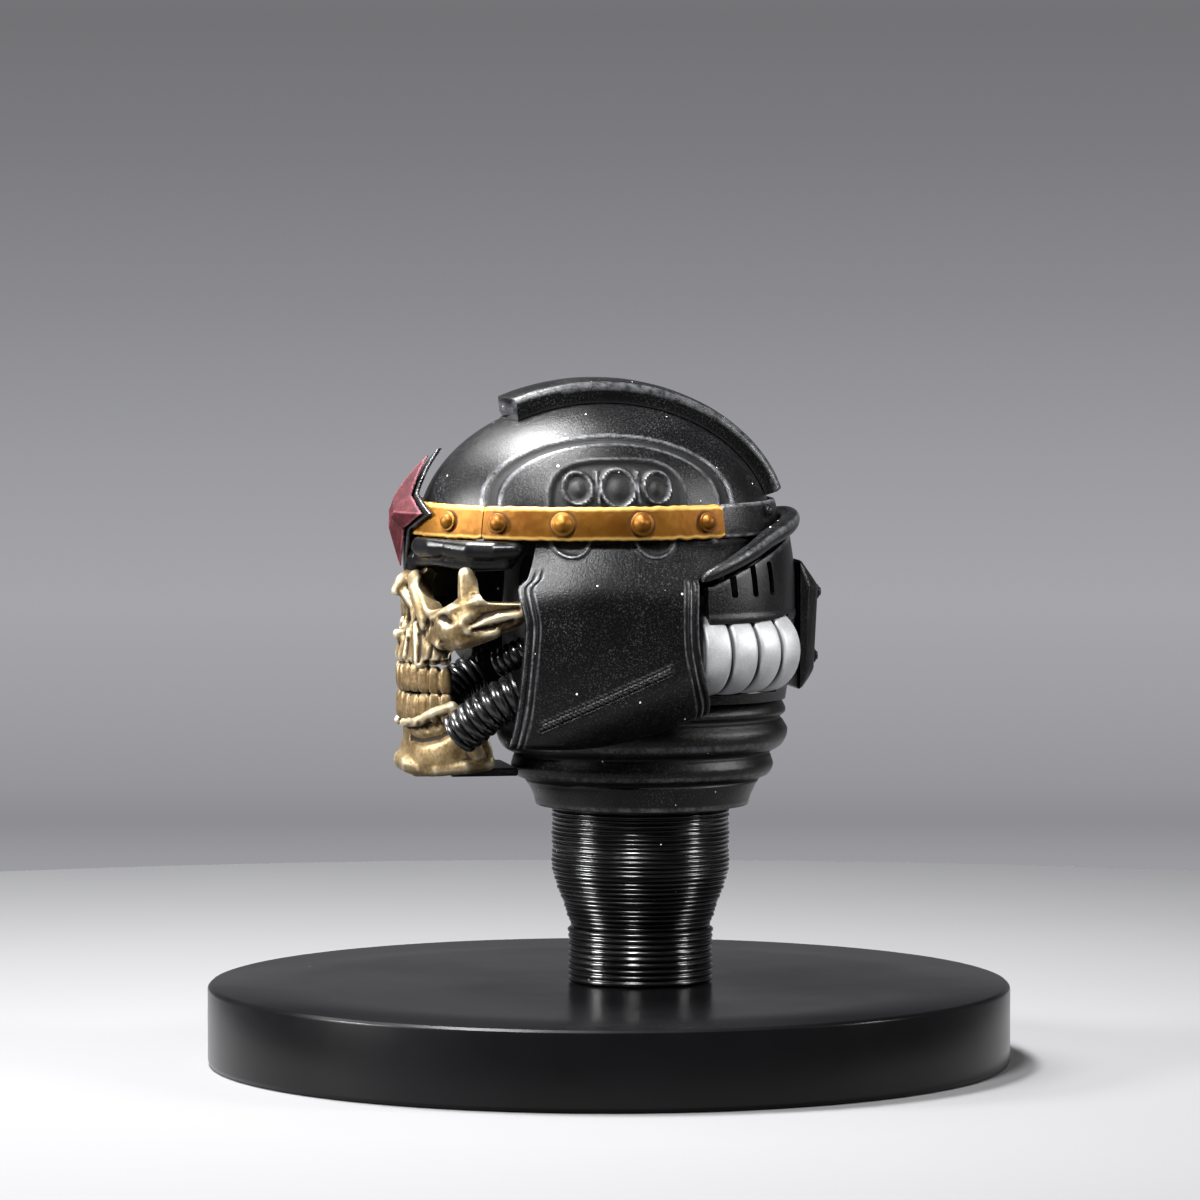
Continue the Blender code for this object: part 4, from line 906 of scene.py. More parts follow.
for name, share, depth in (("upper", 0.24, 0.99), ("lower", -0.26, 0.86)):
    stud = turned(((0, 0), (STUD_RADIUS, 0), (STUD_RADIUS, 0.30), (0.85 * STUD_RADIUS, 0.42),
                   (0.62 * STUD_RADIUS, 0.46), (0.56 * STUD_RADIUS, 0.66), (0, 0.72)), 32)
    stud.transform(Matrix.Translation((0, seat + BLOCK_DEPTH * depth + 2 * GAP,
                                       BLOCK_Z + BLOCK_HEIGHT * share))
                   @ Matrix.Rotation(-0.5 * math.pi, 4, "X"))
    piece(f"clip_stud_{name}", stud, SHELL, f"block_stud_{name}")

# ---- Neck collar -----------------------------------------------------------------------
# A soft-looking stepped collar, cast hollow, that closes the helmet's neck round the post.
# Its folds are round, and it carries more dust than the rest.
COLLAR_Y, COLLAR_WIDTH, COLLAR_DEPTH, COLLAR_HEIGHT, COLLAR_BOTTOM = 4.2, 28.4, 34.0, 12.9, 32.3
COLLAR_BORE, COLLAR_OUTSIDE = 12.1, 0.78
# Folds, darkened as painted shade, and edges, lightened as painted highlight broken up as rubbing,
# by their share of the height and half width
COLLAR_FOLDS = ((0.255, 0.03), (0.50, 0.035), (0.84, 0.035))
COLLAR_EDGES = ((0.02, 0.03), (0.31, 0.03), (0.60, 0.04))
COLLAR_SECTIONS = ((0.000, 0.930, 0.776), (0.101, 0.940, 0.800), (0.233, 0.950, 0.860),
                   (0.287, 0.970, 0.930), (0.380, 0.985, 0.965), (0.488, 0.955, 0.953),
                   (0.581, 0.995, 1.035), (0.713, 1.000, 1.076), (0.829, 0.950, 1.035),
                   (0.907, 0.960, 1.060), (1.000, 0.900, 1.035))


def collar_place(u, v):
    """One ring of the collar: down the outside, under it, and up the bore."""
    turn = 2 * math.pi * u
    if v < COLLAR_OUTSIDE:
        share = 1.0 - v / COLLAR_OUTSIDE
        wide = 0.5 * COLLAR_WIDTH * reading(COLLAR_SECTIONS, 1, share)
        deep = 0.5 * COLLAR_DEPTH * reading(COLLAR_SECTIONS, 2, share)
        crease = 0.10 * wobble(3 * math.cos(turn), 3 * math.sin(turn), share * 9, 0.6)
        fold = max(line(share - place, half) for place, half in COLLAR_FOLDS)
        wide += crease - 0.25 * fold
        deep += crease - 0.25 * fold
        edge = max(line(share - place, half) for place, half in COLLAR_EDGES)
        # Painted shade in the folds and a painted highlight on the tier edges.
        dark, bright = 0.6 * fold, 0.22 * edge
    else:
        along = (v - COLLAR_OUTSIDE) / (1 - COLLAR_OUTSIDE)
        share = step(along, 0.35, 1.0)
        under = step(along, 0.0, 0.35)
        foot, top = ((0.5 * COLLAR_WIDTH * COLLAR_SECTIONS[row][1],
                      0.5 * COLLAR_DEPTH * COLLAR_SECTIONS[row][2]) for row in (0, -1))
        top = (top[0] - 0.75, top[1] - 1.5)
        wide = foot[0] + (COLLAR_BORE - foot[0]) * under + (top[0] - COLLAR_BORE) * share
        deep = foot[1] + (COLLAR_BORE - foot[1]) * under + (top[1] - COLLAR_BORE) * share
        dark = bright = 0.0
    return (Vector((wide * math.cos(turn), COLLAR_Y + deep * math.sin(turn),
                    COLLAR_BOTTOM + COLLAR_HEIGHT * share)), dark, bright)


def closed_ring(bm):
    """Join the first and last rings of a form that goes round in section."""
    bmesh.ops.remove_doubles(bm, verts=bm.verts, dist=0.004)
    rims = [e for e in bm.edges if e.is_boundary]
    bmesh.ops.bridge_loops(bm, edges=rims)
    return bm


piece("collar", closed_ring(patch(220, 110, collar_place)), shell("black_collar_satin", 0.32, 0.20),
      "neck_collar", 60)

# ---- Mask liner and throat plate -------------------------------------------------------
# A plain black wall behind the skull mask, with a sight hole for each eye, and under it a
# flat plate that joins the jaw to the collar.
LINER_Y, LINER_DEPTH, LINER_WALL, LINER_BOTTOM = -7.0, 5.5, 1.2, 46.2
EYE_X, EYE_Z, SIGHT_RADIUS = 8.4, 60.6, 3.384


def liner_place(u, v):
    """The liner: u from the left side to the right, v down from under the band."""
    top = BAND_UNDER
    z = top + (LINER_BOTTOM - top) * v
    half = side_x(LINER_Y, z) - WALL - 0.85
    turn = math.pi * (u - 0.5)
    rib = 0.12 * line((z % 2.6) - 1.3, 0.4) * (z < 55)
    y = LINER_Y - LINER_DEPTH * math.cos(turn) - rib
    # The whole liner carries a quarter of painted shade, a little darker than the other black.
    return Vector((-half * math.sin(turn), y, z)), 0.25, 0.0


cutters = []
for side in (1, -1):
    sight = bmesh.new()
    bmesh.ops.create_cone(sight, cap_ends=True, segments=40, radius1=SIGHT_RADIUS,
                          radius2=SIGHT_RADIUS, depth=9.6,
                          matrix=Matrix.Translation((side * EYE_X, LINER_Y - LINER_DEPTH, EYE_Z))
                          @ Matrix.Rotation(0.5 * math.pi, 4, "X"))
    cutters.append(sight)
liner = walled(patch(90, 60, liner_place), LINER_WALL)
piece("eye_wall", carved(liner, cutters), shell("black_inner_satin", 0.5), "mask_liner",
      40)
for slot in bpy.data.objects["throat_plate"].material_slots:
    slot.material = SHELL

# ---- Skull mask ------------------------------------------------------------------------
# The upper face of a skull, cast in one piece: nose bridge, eye rims, cheek bones and upper
# jaw with the roots of its teeth. It is painted old gold with a brown wash in its hollows.
FACE_WIDTH, FACE_FRONT, FACE_WALL, MASK_TOP, MASK_HEIGHT = 36.4, -27.0, 1.7, 62.4, 11.4
MASK_SECTIONS = ((0.00, 0.100, 0.780, 0.330), (0.14, 0.075, 0.830, 0.340),
                 (0.32, 0.060, 0.900, 0.355), (0.48, 0.050, 0.940, 0.370),
                 (0.64, 0.045, 0.820, 0.340), (0.73, 0.035, 0.700, 0.230),
                 (0.82, 0.024, 0.600, 0.170), (1.00, 0.010, 0.520, 0.145))
ARCH_WIDTH, ARCH_DEPTH, ARCH_TURN, TEETH, ROOT_Z = 18.6, 6.6, 78.0, 12, 51.3
MOUTH_LOW, MOUTH_HIGH, MASK_CELL = 42.8, 51.5, 0.17
# Strokes of the left half: across, along and up in millimetres, and the radius there
NOSE_BRIDGE = ((0.0, -24.2, 61.2, 1.4), (0.0, -25.8, 60.3, 1.2), (0.0, -26.6, 59.2, 0.9))
NOSE_SIDE = ((1.9, -24.6, 60.8, 1.2), (3.5, -24.6, 59.6, 1.3), (5.0, -24.2, 57.6, 1.3),
             (6.6, -23.7, 55.6, 1.5))
NOSE_RIM = ((1.1, -25.7, 58.9, 0.75), (2.4, -24.9, 57.4, 0.7), (2.9, -24.8, 55.6, 0.65),
            (1.7, -25.3, 54.4, 0.65))
NOSE_SPINE = ((0.0, -25.2, 53.6, 1.1), (0.0, -26.4, 53.9, 0.9))
EYE_RIM = ((4.8, -23.8, 58.6, 0.9), (6.8, -23.8, 57.2, 0.95), (9.4, -23.2, 56.6, 1.1),
           (12.0, -21.9, 56.9, 1.2), (13.8, -20.6, 58.2, 0.95))
EYE_STRUT = ((14.2, -19.7, 57.8, 1.9), (14.0, -20.2, 59.6, 1.4), (13.7, -20.5, 62.0, 1.0),
             (14.2, -19.7, 60.2, 1.1), (14.8, -18.6, 58.6, 1.3))
CHEEK_BONE = ((9.0, -23.0, 55.0, 1.6), (12.0, -21.6, 55.2, 2.3), (14.2, -19.6, 56.1, 2.5),
              (15.5, -17.0, 57.1, 2.2), (16.2, -14.6, 57.9, 1.8))
CHEEK_RIDGE = ((9.6, -23.6, 56.2, 0.8), (13.2, -21.9, 57.6, 1.0), (15.9, -19.2, 58.9, 0.95),
               (17.0, -15.6, 59.3, 0.8))
CHEEK_FOOT = ((7.6, -23.4, 54.2, 1.2), (10.6, -22.6, 53.7, 1.5), (13.6, -20.8, 54.3, 1.6),
              (16.0, -17.6, 55.4, 1.3))
CANINE_RIDGE = ((6.2, -24.7, 50.9, 1.05), (5.6, -24.9, 53.0, 0.85), (4.6, -24.9, 55.2, 0.7))
# Hollows scored in the side, as y and z of each point, then the half width and the depth
CHEEK_SCORE = (((-20.4, 56.1), (-19.0, 57.3), (-17.2, 57.9), (-14.8, 58.0)), 0.55, 0.70)
OVAL_SCORE = (((-20.0, 55.3), (-17.8, 55.7), (-15.4, 56.3)), 0.35, 0.45)
FOSSA_SCORE = (((-24.4, 55.6), (-23.9, 53.9), (-22.9, 52.6), (-22.0, 51.6)), 0.60, 0.75)
HOLE_SCORE = (((-23.2, 56.7), (-22.8, 56.4)), 0.40, 0.70)
ROOT_SCORES = tuple((((y, 50.8), (y + 0.35, tall)), 0.20, 0.34) for y, tall in
                    ((-26.3, 53.4), (-25.3, 54.2), (-24.2, 53.6), (-23.0, 52.8), (-21.8, 52.6)))
GUM_SCORE = (((-26.2, 41.3), (-24.6, 41.0), (-22.8, 41.6), (-21.2, 42.6)), 0.50, 0.40)
JAW_SCORES = tuple((((-26.0 + back, 42.9 + 0.4 * back), (-25.8 + back, 41.6 + 0.35 * back)),
                    0.22, 0.12) for back in (0.0, 0.9, 1.9, 3.0))
# Cutters, as the left one's centre and its radii or size
EYE_BALL, EYE_TILT = ((8.9, -24.0, 60.9), (4.0, 10.0, 3.5)), math.radians(-8)
ORBIT_BALL = ((5.9, -21.0, 61.3), (4.1, 4.3, 3.3))
NOSE_BALL, NOSE_NARROWING = ((0.0, -25.8, 56.6), (1.9, 6.0, 2.2)), 0.38
TEMPLE_BOX, TEMPLE_ROUNDING = ((17.6, -14.6, 61.9), (12.4, 9.0, 6.4)), 1.2


def face_place(sections, top, height, width, start=FACE_FRONT):
    """The rule of a face shell, from the wearer's left side over the front to the right."""
    def place(u, v):
        turn = math.pi * (u - 0.5)
        front = start + width * reading(sections, 1, v)
        half = 0.5 * width * reading(sections, 2, v)
        side = start + width * reading(sections, 3, v)
        return Vector((-half * math.sin(turn), side + (front - side) * math.cos(turn),
                       top - height * v)), 0.0, 0.0
    return place


def join(bm, part):
    """Add a copy of one form to another."""
    mesh = bpy.data.meshes.new("part")
    part.to_mesh(mesh)
    bm.from_mesh(mesh)
    bpy.data.meshes.remove(mesh)


def stroke(bm, points, both=True):
    """Lay a stroke of overlapping balls along a route, and its twin on the other side."""
    balls = bmesh.new()
    for first, last in zip(points, points[1:]):
        start, end = Vector(first[:3]), Vector(last[:3])
        count = max(2, round((end - start).length / (0.32 * min(first[3], last[3]))))
        for i in range(count + 1):
            share = i / count
            size = first[3] + (last[3] - first[3]) * share
            bmesh.ops.create_icosphere(balls, subdivisions=2, radius=size,
                                       matrix=Matrix.Translation(start.lerp(end, share)))
    join(bm, balls)
    if both and max(point[0] for point in points) > 0:
        join(bm, mirror(balls))
    balls.free()


def arch_spot(tooth, inset=0.0):
    """A place on the dental arch, counted in teeth from its right-hand end."""
    turn = math.radians(ARCH_TURN * (2.0 * tooth / TEETH - 1.0))
    out = Vector((math.sin(turn), -math.cos(turn), 0.0))
    centre = Vector((0.5 * ARCH_WIDTH * out.x, FACE_FRONT + 0.25 + ARCH_DEPTH * (1 + out.y), 0))
    return centre - out * inset, out


def placed(centre, size, side=1, tilt=0.0):
    """The move of a unit form to its place and size, on the left side (1) or the right (-1)."""
    return (Matrix.Translation((side * centre[0], *centre[1:])) @ Matrix.Rotation(tilt, 4, "Y")
            @ Matrix.Diagonal((*size, 1)))


def ball(centre, radii, side=1, tilt=0.0, narrowing=0.0, around=48, levels=32):
    """A ball drawn out to three radii, narrower towards its top if asked."""
    bm = bmesh.new()
    bmesh.ops.create_uvsphere(bm, u_segments=around, v_segments=levels, radius=1.0)
    for vert in bm.verts:
        vert.co.x *= 1.0 - narrowing * vert.co.z
    bm.transform(placed(centre, radii, side, tilt))
    return bm


def softened(bm, times):
    for _ in range(times):
        bmesh.ops.smooth_vert(bm, verts=bm.verts, factor=0.5, use_axis_x=True, use_axis_y=True,
                              use_axis_z=True)
    return bm


def marked(bm, reach, deep):
    """Mark the hollows dark and the raised edges bright: the wash and the rubbing on the old gold
    and the red, a painted highlight on the black gloss.
    """
    dark, bright = marks(bm)
    bm.normal_update()
    places = [(vert.co.copy(), vert.normal.copy()) for vert in bm.verts]
    softened(bm, reach)
    for vert, (place, normal) in zip(bm.verts, places):
        hollow = (vert.co - place).dot(normal)
        vert[dark] = step(hollow, 0.10 * deep, deep)
        vert[bright] = step(-hollow, 0.15 * deep, 0.9 * deep)
        vert.co = place
    return bm


def scored(bm, hollows):
    """Press hollow lines into both sides, each along a route seen from the side."""
    bm.normal_update()
    for vert in bm.verts:
        press = 0.0
        for route, wide, deep in hollows:
            for first, last in zip(route, route[1:]):
                way = (last[0] - first[0], last[1] - first[1])
                to = (vert.co.y - first[0], vert.co.z - first[1])
                along = (to[0] * way[0] + to[1] * way[1]) / (way[0] ** 2 + way[1] ** 2)
                along = min(max(along, 0.0), 1.0)
                gap = math.hypot(to[0] - along * way[0], to[1] - along * way[1])
                press = max(press, deep * math.exp(-(gap / wide) ** 2))
        if press > 0.01 and abs(vert.co.x) > 2.5:
            vert.co -= vert.normal * press * min(abs(vert.normal.x) + 0.35, 1.0)
    return bm


def bone():
    paint = Finish("old_gold_paint")
    brushed = paint.grain(2.2, 4, 0.65)
    cloud = paint.clouds(0.45, 4, 0.34, 0.68, 0.6)
    hollow, edge = paint.mark("dark"), paint.mark("bright")
    wash = paint.ramp(hollow + (brushed - 0.5) * 0.6, ((0.02, 0.0), (0.34, 1.0)))
    tone = paint.blend(cloud, (0.080, 0.050, 0.018), (0.190, 0.140, 0.072))
    stroked = paint.ramp(brushed, ((0.45, 0.0), (0.7, 0.6)))
    tone = paint.blend(stroked, tone, (0.048, 0.027, 0.010))
    # Between MOUTH_LOW and MOUTH_HIGH the old gold goes darker and browner in patches.
    up = paint.node("SeparateXYZ", None, {0: paint.place()}, 2) / MM
    mouth = (up > MOUTH_LOW) * (up < MOUTH_HIGH)
    mottle = paint.ramp(brushed, ((0.40, 0.0), (0.62, 1.0))) * mouth * 0.5
    tone = paint.blend(mottle, tone, (0.085, 0.045, 0.018))
    tone = paint.blend(edge, tone, (0.38, 0.33, 0.23))
    tone = paint.blend(wash, tone, (0.012, 0.007, 0.003))
    return paint.wear(tone, 0.40 + brushed * 0.14 + wash * 0.30, 0.66 - wash * 0.4,
                      paint.relief(brushed + paint.grain(5.5, 2) * 0.35, 0.30, 0.06), 0.20)


BONE = bone()
mask = walled(patch(90, 44, face_place(MASK_SECTIONS, MASK_TOP, MASK_HEIGHT, FACE_WIDTH)),
              FACE_WALL)
for route in (NOSE_BRIDGE, NOSE_SIDE, NOSE_RIM, NOSE_SPINE, EYE_RIM, EYE_STRUT, CHEEK_BONE,
              CHEEK_RIDGE, CHEEK_FOOT, CANINE_RIDGE):
    stroke(mask, route)
for tooth in range(TEETH):
    spot, out = arch_spot(tooth + 0.5, 0.95)
    tall = 3.0 if tooth % 3 else 2.0
    stroke(mask, ((spot.x, spot.y - 0.15, ROOT_Z, 0.95),
                  (spot.x * 0.97, spot.y, ROOT_Z + tall, 0.6)), False)
cutters = []
for side in (1, -1):
    temple = bmesh.new()
    bmesh.ops.create_cube(temple, size=1.0)
    temple.transform(placed(*TEMPLE_BOX, side))
    rounded(temple, temple.edges[:], TEMPLE_ROUNDING)
    cutters += [ball(*EYE_BALL, side, side * EYE_TILT), temple, ball(*ORBIT_BALL, side)]
cutters.append(ball(*NOSE_BALL, narrowing=NOSE_NARROWING, around=40, levels=24))
mask = softened(fused(carved(fused(mask, MASK_CELL), cutters), MASK_CELL), 3)
scored(mask, (CHEEK_SCORE, OVAL_SCORE, FOSSA_SCORE, HOLE_SCORE) + ROOT_SCORES)
piece("skull_face", marked(softened(mask, 1), 18, 0.11), BONE, "skull_mask", 80)

# ---- Teeth and jaw ---------------------------------------------------------------------
# Two rows of teeth on one arch, and the lower jaw with its chin forward: three castings in
# the same old gold, with dark gaps between the teeth.


def teeth(middle, height, grow):
    """A row of teeth on the arch; grow is the way from the biting edge to the gum."""
    bm = bmesh.new()
    for tooth in range(TEETH):
        spot, out = arch_spot(tooth + 0.5, 0.78)
        wide = 0.5 * (arch_spot(tooth + 1)[0] - arch_spot(tooth)[0]).length
        crown = bmesh.new()
        bmesh.ops.create_cube(crown, size=2.0)
        rounded(crown, crown.edges[:], 0.62)
        jog = 0.20 * math.sin(5.1 * tooth + middle)
        for vert in crown.verts:
            up = vert.co.z * grow
            vert.co.x *= 1.0 - 0.16 * max(up, 0.0)
            vert.co.y *= 1.0 - 0.10 * max(-up, 0.0)
        turn = math.atan2(out.x, -out.y)
        crown.transform(Matrix.Translation((spot.x, spot.y, middle + jog * 0.6))
                        @ Matrix.Rotation(turn + 0.6 * jog, 4, "Z")
                        @ Matrix.Diagonal((0.94 * wide, 0.74, 0.5 * height + 0.3 * jog, 1)))
        join(bm, crown)
        crown.free()
    gum = [arch_spot(0.4 + i * (TEETH - 0.8) / 26, 0.95)[0] for i in range(27)]
    stroke(bm, [(*spot.xy, middle + grow * 0.12 * height, 0.52) for spot in gum], False)
    return marked(softened(fused(bm, 0.13), 2), 12, 0.13)


piece("upper_teeth", teeth(48.7, 3.5, 1), BONE, "teeth_upper", 80)
piece("lower_teeth", teeth(45.1, 3.6, -1), BONE, "teeth_lower", 80)

JAW_TOP, JAW_HEIGHT, JAW_WIDTH = 43.05, 6.9, 20.6
JAW_SECTIONS = ((0.00, 0.055, 0.82, 0.40), (0.30, 0.055, 0.88, 0.45), (0.60, 0.030, 0.97, 0.50),
                (0.88, 0.045, 0.95, 0.52), (1.00, 0.110, 0.86, 0.52))
CHIN = ((0.0, -25.7, 38.3, 1.5), (2.4, -25.4, 38.0, 1.4), (4.4, -24.3, 37.8, 1.1))
JAW_EDGE = ((3.0, -24.8, 37.3, 1.0), (6.6, -22.6, 37.6, 1.0), (9.0, -19.4, 38.1, 1.0),
            (9.4, -17.0, 38.5, 1.0))
JAW_SIDE = ((9.0, -21.4, 45.4, 0.8), (9.3, -20.2, 43.4, 1.0), (9.5, -19.0, 41.0, 1.1),
            (9.4, -18.2, 39.4, 1.1))
JAW_LINE = ((2.0, -26.2, 43.0, 0.6), (5.4, -25.0, 43.4, 0.7), (7.8, -23.4, 44.6, 0.75),
            (9.0, -21.4, 45.4, 0.75))
JAW_SLOPE, JAW_RISE = 0.14, 0.50
jaw = patch(80, 36, face_place(JAW_SECTIONS, JAW_TOP, JAW_HEIGHT, JAW_WIDTH))
for vert in jaw.verts:
    low = step(JAW_TOP - vert.co.z, 0.3 * JAW_HEIGHT, JAW_HEIGHT)
    back = vert.co.y - FACE_FRONT
    vert.co.z += low * JAW_SLOPE * back + (1 - low) * JAW_RISE * min(max(back - 1.5, 0.0), 4.6)
jaw = walled(jaw, FACE_WALL)
for route in (CHIN, JAW_EDGE, JAW_SIDE, JAW_LINE):
    stroke(jaw, route)
jaw = scored(softened(fused(jaw, MASK_CELL), 2), (GUM_SCORE,) + JAW_SCORES)
piece("skull_chin", marked(softened(jaw, 1), 16, 0.11), BONE, "skull_jaw", 80)

# ---- Brow ridge ------------------------------------------------------------------------
# A glossy black ridge between the band and the eyes, moulded in soft bulges over each eye
# and drawn down between them.
BROW_WIDTH, BROW_HEIGHT = 34.4, 3.6
BROW_FRONT = BOWL_Y - 0.5 * BOWL_DEPTH
BROW_SECTIONS = ((0.00, 0.050, 0.93, 0.310), (0.35, 0.045, 0.94, 0.295),
                 (0.75, 0.055, 0.92, 0.275), (1.00, 0.090, 0.86, 0.265))
BROW_ARC = ((2.8, -24.2, 64.8, 1.3), (5.6, -24.3, 65.1, 1.55), (8.6, -23.4, 65.2, 1.5),
            (10.4, -22.4, 65.2, 1.1))
BROW_END = ((10.9, -21.8, 65.1, 1.3), (13.4, -19.9, 64.9, 1.35), (15.2, -17.2, 64.9, 1.3),
            (15.9, -14.8, 65.0, 1.1))
BROW_FOLD = ((2.0, -24.0, 63.2, 1.0), (5.2, -23.3, 63.4, 0.9), (9.6, -21.8, 63.4, 0.9),
             (13.4, -19.4, 63.2, 0.9), (15.4, -16.0, 63.4, 0.9))
BROW_ROOT = ((0.0, -24.0, 65.0, 1.7), (0.0, -24.2, 63.4, 1.7), (0.0, -24.3, 62.2, 1.4))
BROW_WEB = ((0.0, -19.6, 60.2), (2.2, 9.6, 9.4))


def polished(name, roughness, specular=0.5):
    paint = Finish(name)
    smear = paint.clouds(0.5, 3, 0.4, 0.7)
    # Painted highlight: raised edges and rib crests go a little lighter, broken up by the smudges.
    tone = paint.blend(paint.mark("bright") * smear, (0.003, 0.003, 0.0033), (0.035, 0.035, 0.038))
    return paint.wear(tone, roughness + smear * 0.14, 0.0,
                      paint.relief(paint.grain(1.8, 3), 0.12, 0.05), specular)


brow = walled(patch(80, 16, face_place(BROW_SECTIONS, BAND_UNDER, BROW_HEIGHT, BROW_WIDTH,
                                       BROW_FRONT)), WALL)
for route in (BROW_ARC, BROW_END, BROW_FOLD, BROW_ROOT):
    stroke(brow, route)
bmesh.ops.create_cube(brow, size=1.0, matrix=placed(*BROW_WEB))
brow = fused(brow, 0.18)
for vert in brow.verts:
    vert.co.z = min(vert.co.z, BAND_UNDER)
piece("gloss_brow", marked(softened(brow, 3), 12, 0.2), polished("black_gloss_brow", 0.26, 0.16),
      "brow_ridge", 80)

# ---- Hoses -----------------------------------------------------------------------------
# Two ribbed breathing hoses a side, moulded stiff in glossy black: a wide one from the jaw
# up behind the cheek plate, and a short thin one above it.
HOSE_RADIUS, UPPER_RADIUS = 2.75, 1.8
LOWER_HOSE = ((11.9, -21.2, 42.2), (13.4, -19.0, 44.2), (14.7, -16.6, 46.2), (15.3, -13.8, 47.7))
UPPER_HOSE = ((12.2, -16.3, 51.0), (12.9, -15.3, 51.5), (13.6, -14.2, 52.1), (14.2, -12.9, 52.8))


def route_spot(route, along):
    """A point on the smooth curve through a route."""
    points = [Vector(point) for point in route]
    spot = along * (len(points) - 1)
    i = min(int(spot), len(points) - 2)
    t = spot - i
    before, start, end = points[max(i - 1, 0)], points[i], points[i + 1]
    after = points[min(i + 2, len(points) - 1)]
    return 0.5 * (2 * start + (end - before) * t
                  + (2 * before - 5 * start + 4 * end - after) * t * t
                  + (3 * start - before - 3 * end + after) * t ** 3)


def hose_place(route, radius, ribs, depth):
    """The rule of a ribbed hose along a route."""
    def place(u, v):
        here = route_spot(route, v)
        ahead, behind = route_spot(route, min(v + 0.02, 1.0)), route_spot(route, max(v - 0.02, 0.0))
        share = (v * ribs) % 1.0 if v < 0.999 else 1.0
        swell = abs(math.sin(math.pi * share)) ** 0.55
        # Painted shade between the ribs, which the hose's finish doesn't use, and a painted
        # highlight on each rib's crest.
        return (tube_spot(here, (ahead - behind).normalized(), u, radius - depth * (1 - swell)),
                1 - step(swell, 0.1, 0.5), 0.5 * step(swell, 0.93, 1.0))
    return place


RUBBER = polished("black_gloss_hose", 0.22)
for label, route, radius, ribs, depth in (("lower", LOWER_HOSE, HOSE_RADIUS, 9, 0.50),
                                          ("upper", UPPER_HOSE, UPPER_RADIUS, 5, 0.34)):
    rule = hose_place(route, radius, ribs, depth)
    pair(f"ribbed_{label}", lambda: closed_ends(patch(48, ribs * 14, rule)), RUBBER,
         f"{label}_hose", "black_gloss", 60)

# ---- Star badge ------------------------------------------------------------------------
# A plain four-pointed star on the brow, cast in facets and painted dusty red, with pale
# rubbing on its ridges. It sits on a glossy black backing of the same outline.
STAR_HEIGHT, STAR_WIDTH, STAR_NOTCH, STAR_Z, STAR_RISE = 13.6, 13.2, 0.42, 69.1, 1.4
STAR_BACKING, STAR_BORDER = 0.5, 0.9


def brow_y(x, z, lift):
    """Depth of a surface standing off the dome's front, carried straight down below it."""
    rise = max(z - RIM_Z, 0.0) / (BOWL_HEIGHT + lift)
    side = x / (0.5 * BOWL_WIDTH + lift)
    reach = math.sqrt(max(1.0 - side * side - rise * rise, 0.0))
    return BOWL_Y - (0.5 * BOWL_DEPTH + lift) * reach


def star(border, seat, layers):
    """A star built up from its back in layers, each with its scale and height."""
    bm = bmesh.new()
    bmesh.ops.create_circle(bm, cap_ends=True, segments=16, radius=1.0)
    around = sorted(bm.verts, key=lambda v: math.atan2(v.co.y, v.co.x) % (2 * math.pi))
    for i, vert in enumerate(around):
        reach = {0: 1.0, 2: STAR_NOTCH}.get(i % 4, 0.41 * (1 + STAR_NOTCH))
        turn = math.pi * i / 8
        vert.co = (reach * math.cos(turn), reach * math.sin(turn), 0.0)
    front = bm.faces[:]
    for i, (scale, height) in enumerate(layers[1:]):
        more = bmesh.ops.extrude_face_region(bm, geom=front, use_keep_orig=i == 0)
        front = [f for f in more["geom"] if isinstance(f, bmesh.types.BMFace)]
        less = scale / layers[i][0]
        for vert in front[0].verts:
            vert.co = (vert.co.x * less, vert.co.y * less, height)
    bmesh.ops.poke(bm, faces=front, offset=0.0)
    bmesh.ops.triangulate(bm, faces=bm.faces[:])
    bmesh.ops.subdivide_edges(bm, edges=bm.edges[:], cuts=3, use_grid_fill=True)
    half_x, half_z = 0.5 * STAR_WIDTH + border, 0.5 * STAR_HEIGHT + border
    for vert in bm.verts:
        x, z = half_x * vert.co.x, STAR_Z + half_z * vert.co.y
        vert.co = (x, brow_y(x, z, seat + vert.co.z), z)
    bmesh.ops.recalc_face_normals(bm, faces=bm.faces)
    return bm


def red():
    paint = Finish("red_dusty_paint")
    brushed = paint.grain(2.6, 4, 0.65)
    cloud = paint.clouds(0.6, 4, 0.35, 0.7)
    hollow, edge = paint.mark("dark"), paint.mark("bright")
    tone = paint.blend(cloud, (0.020, 0.0012, 0.0025), (0.050, 0.004, 0.0075))
    dull = paint.ramp(brushed, ((0.50, 0.0), (0.72, 0.55)))
    patchy_lightening = edge * paint.ramp(brushed, ((0.3, 0.3), (0.6, 1.0)))
    tone = paint.blend(dull, tone, (0.080, 0.013, 0.020))
    tone = paint.blend(patchy_lightening, tone, (0.32, 0.11, 0.135))
    tone = paint.blend(hollow, tone, (0.018, 0.002, 0.004))
    return paint.wear(tone, 0.55 + brushed * 0.15, 0.0, paint.relief(brushed, 0.35, 0.06), 0.15)


seat = 3 * GAP + 0.15 + BAND_THICKNESS
face = seat + STAR_BACKING + 2 * GAP
badge = fused(star(0.0, face, ((1.0, 0.0), (1.0, 0.5 * STAR_BACKING),
                               (0.30, 0.5 * STAR_BACKING + STAR_RISE))), 0.14)
piece("red_star", marked(softened(badge, 1), 10, 0.10), red(), "badge_star", 60)
backing = fused(star(STAR_BORDER, seat, ((1.0, 0.0), (1.0, STAR_BACKING),
                                         (0.3, STAR_BACKING))), 0.15)
piece("star_backing", marked(softened(backing, 1), 8, 0.08), polished("black_gloss_backing", 0.22),
      "badge_backing", 60)

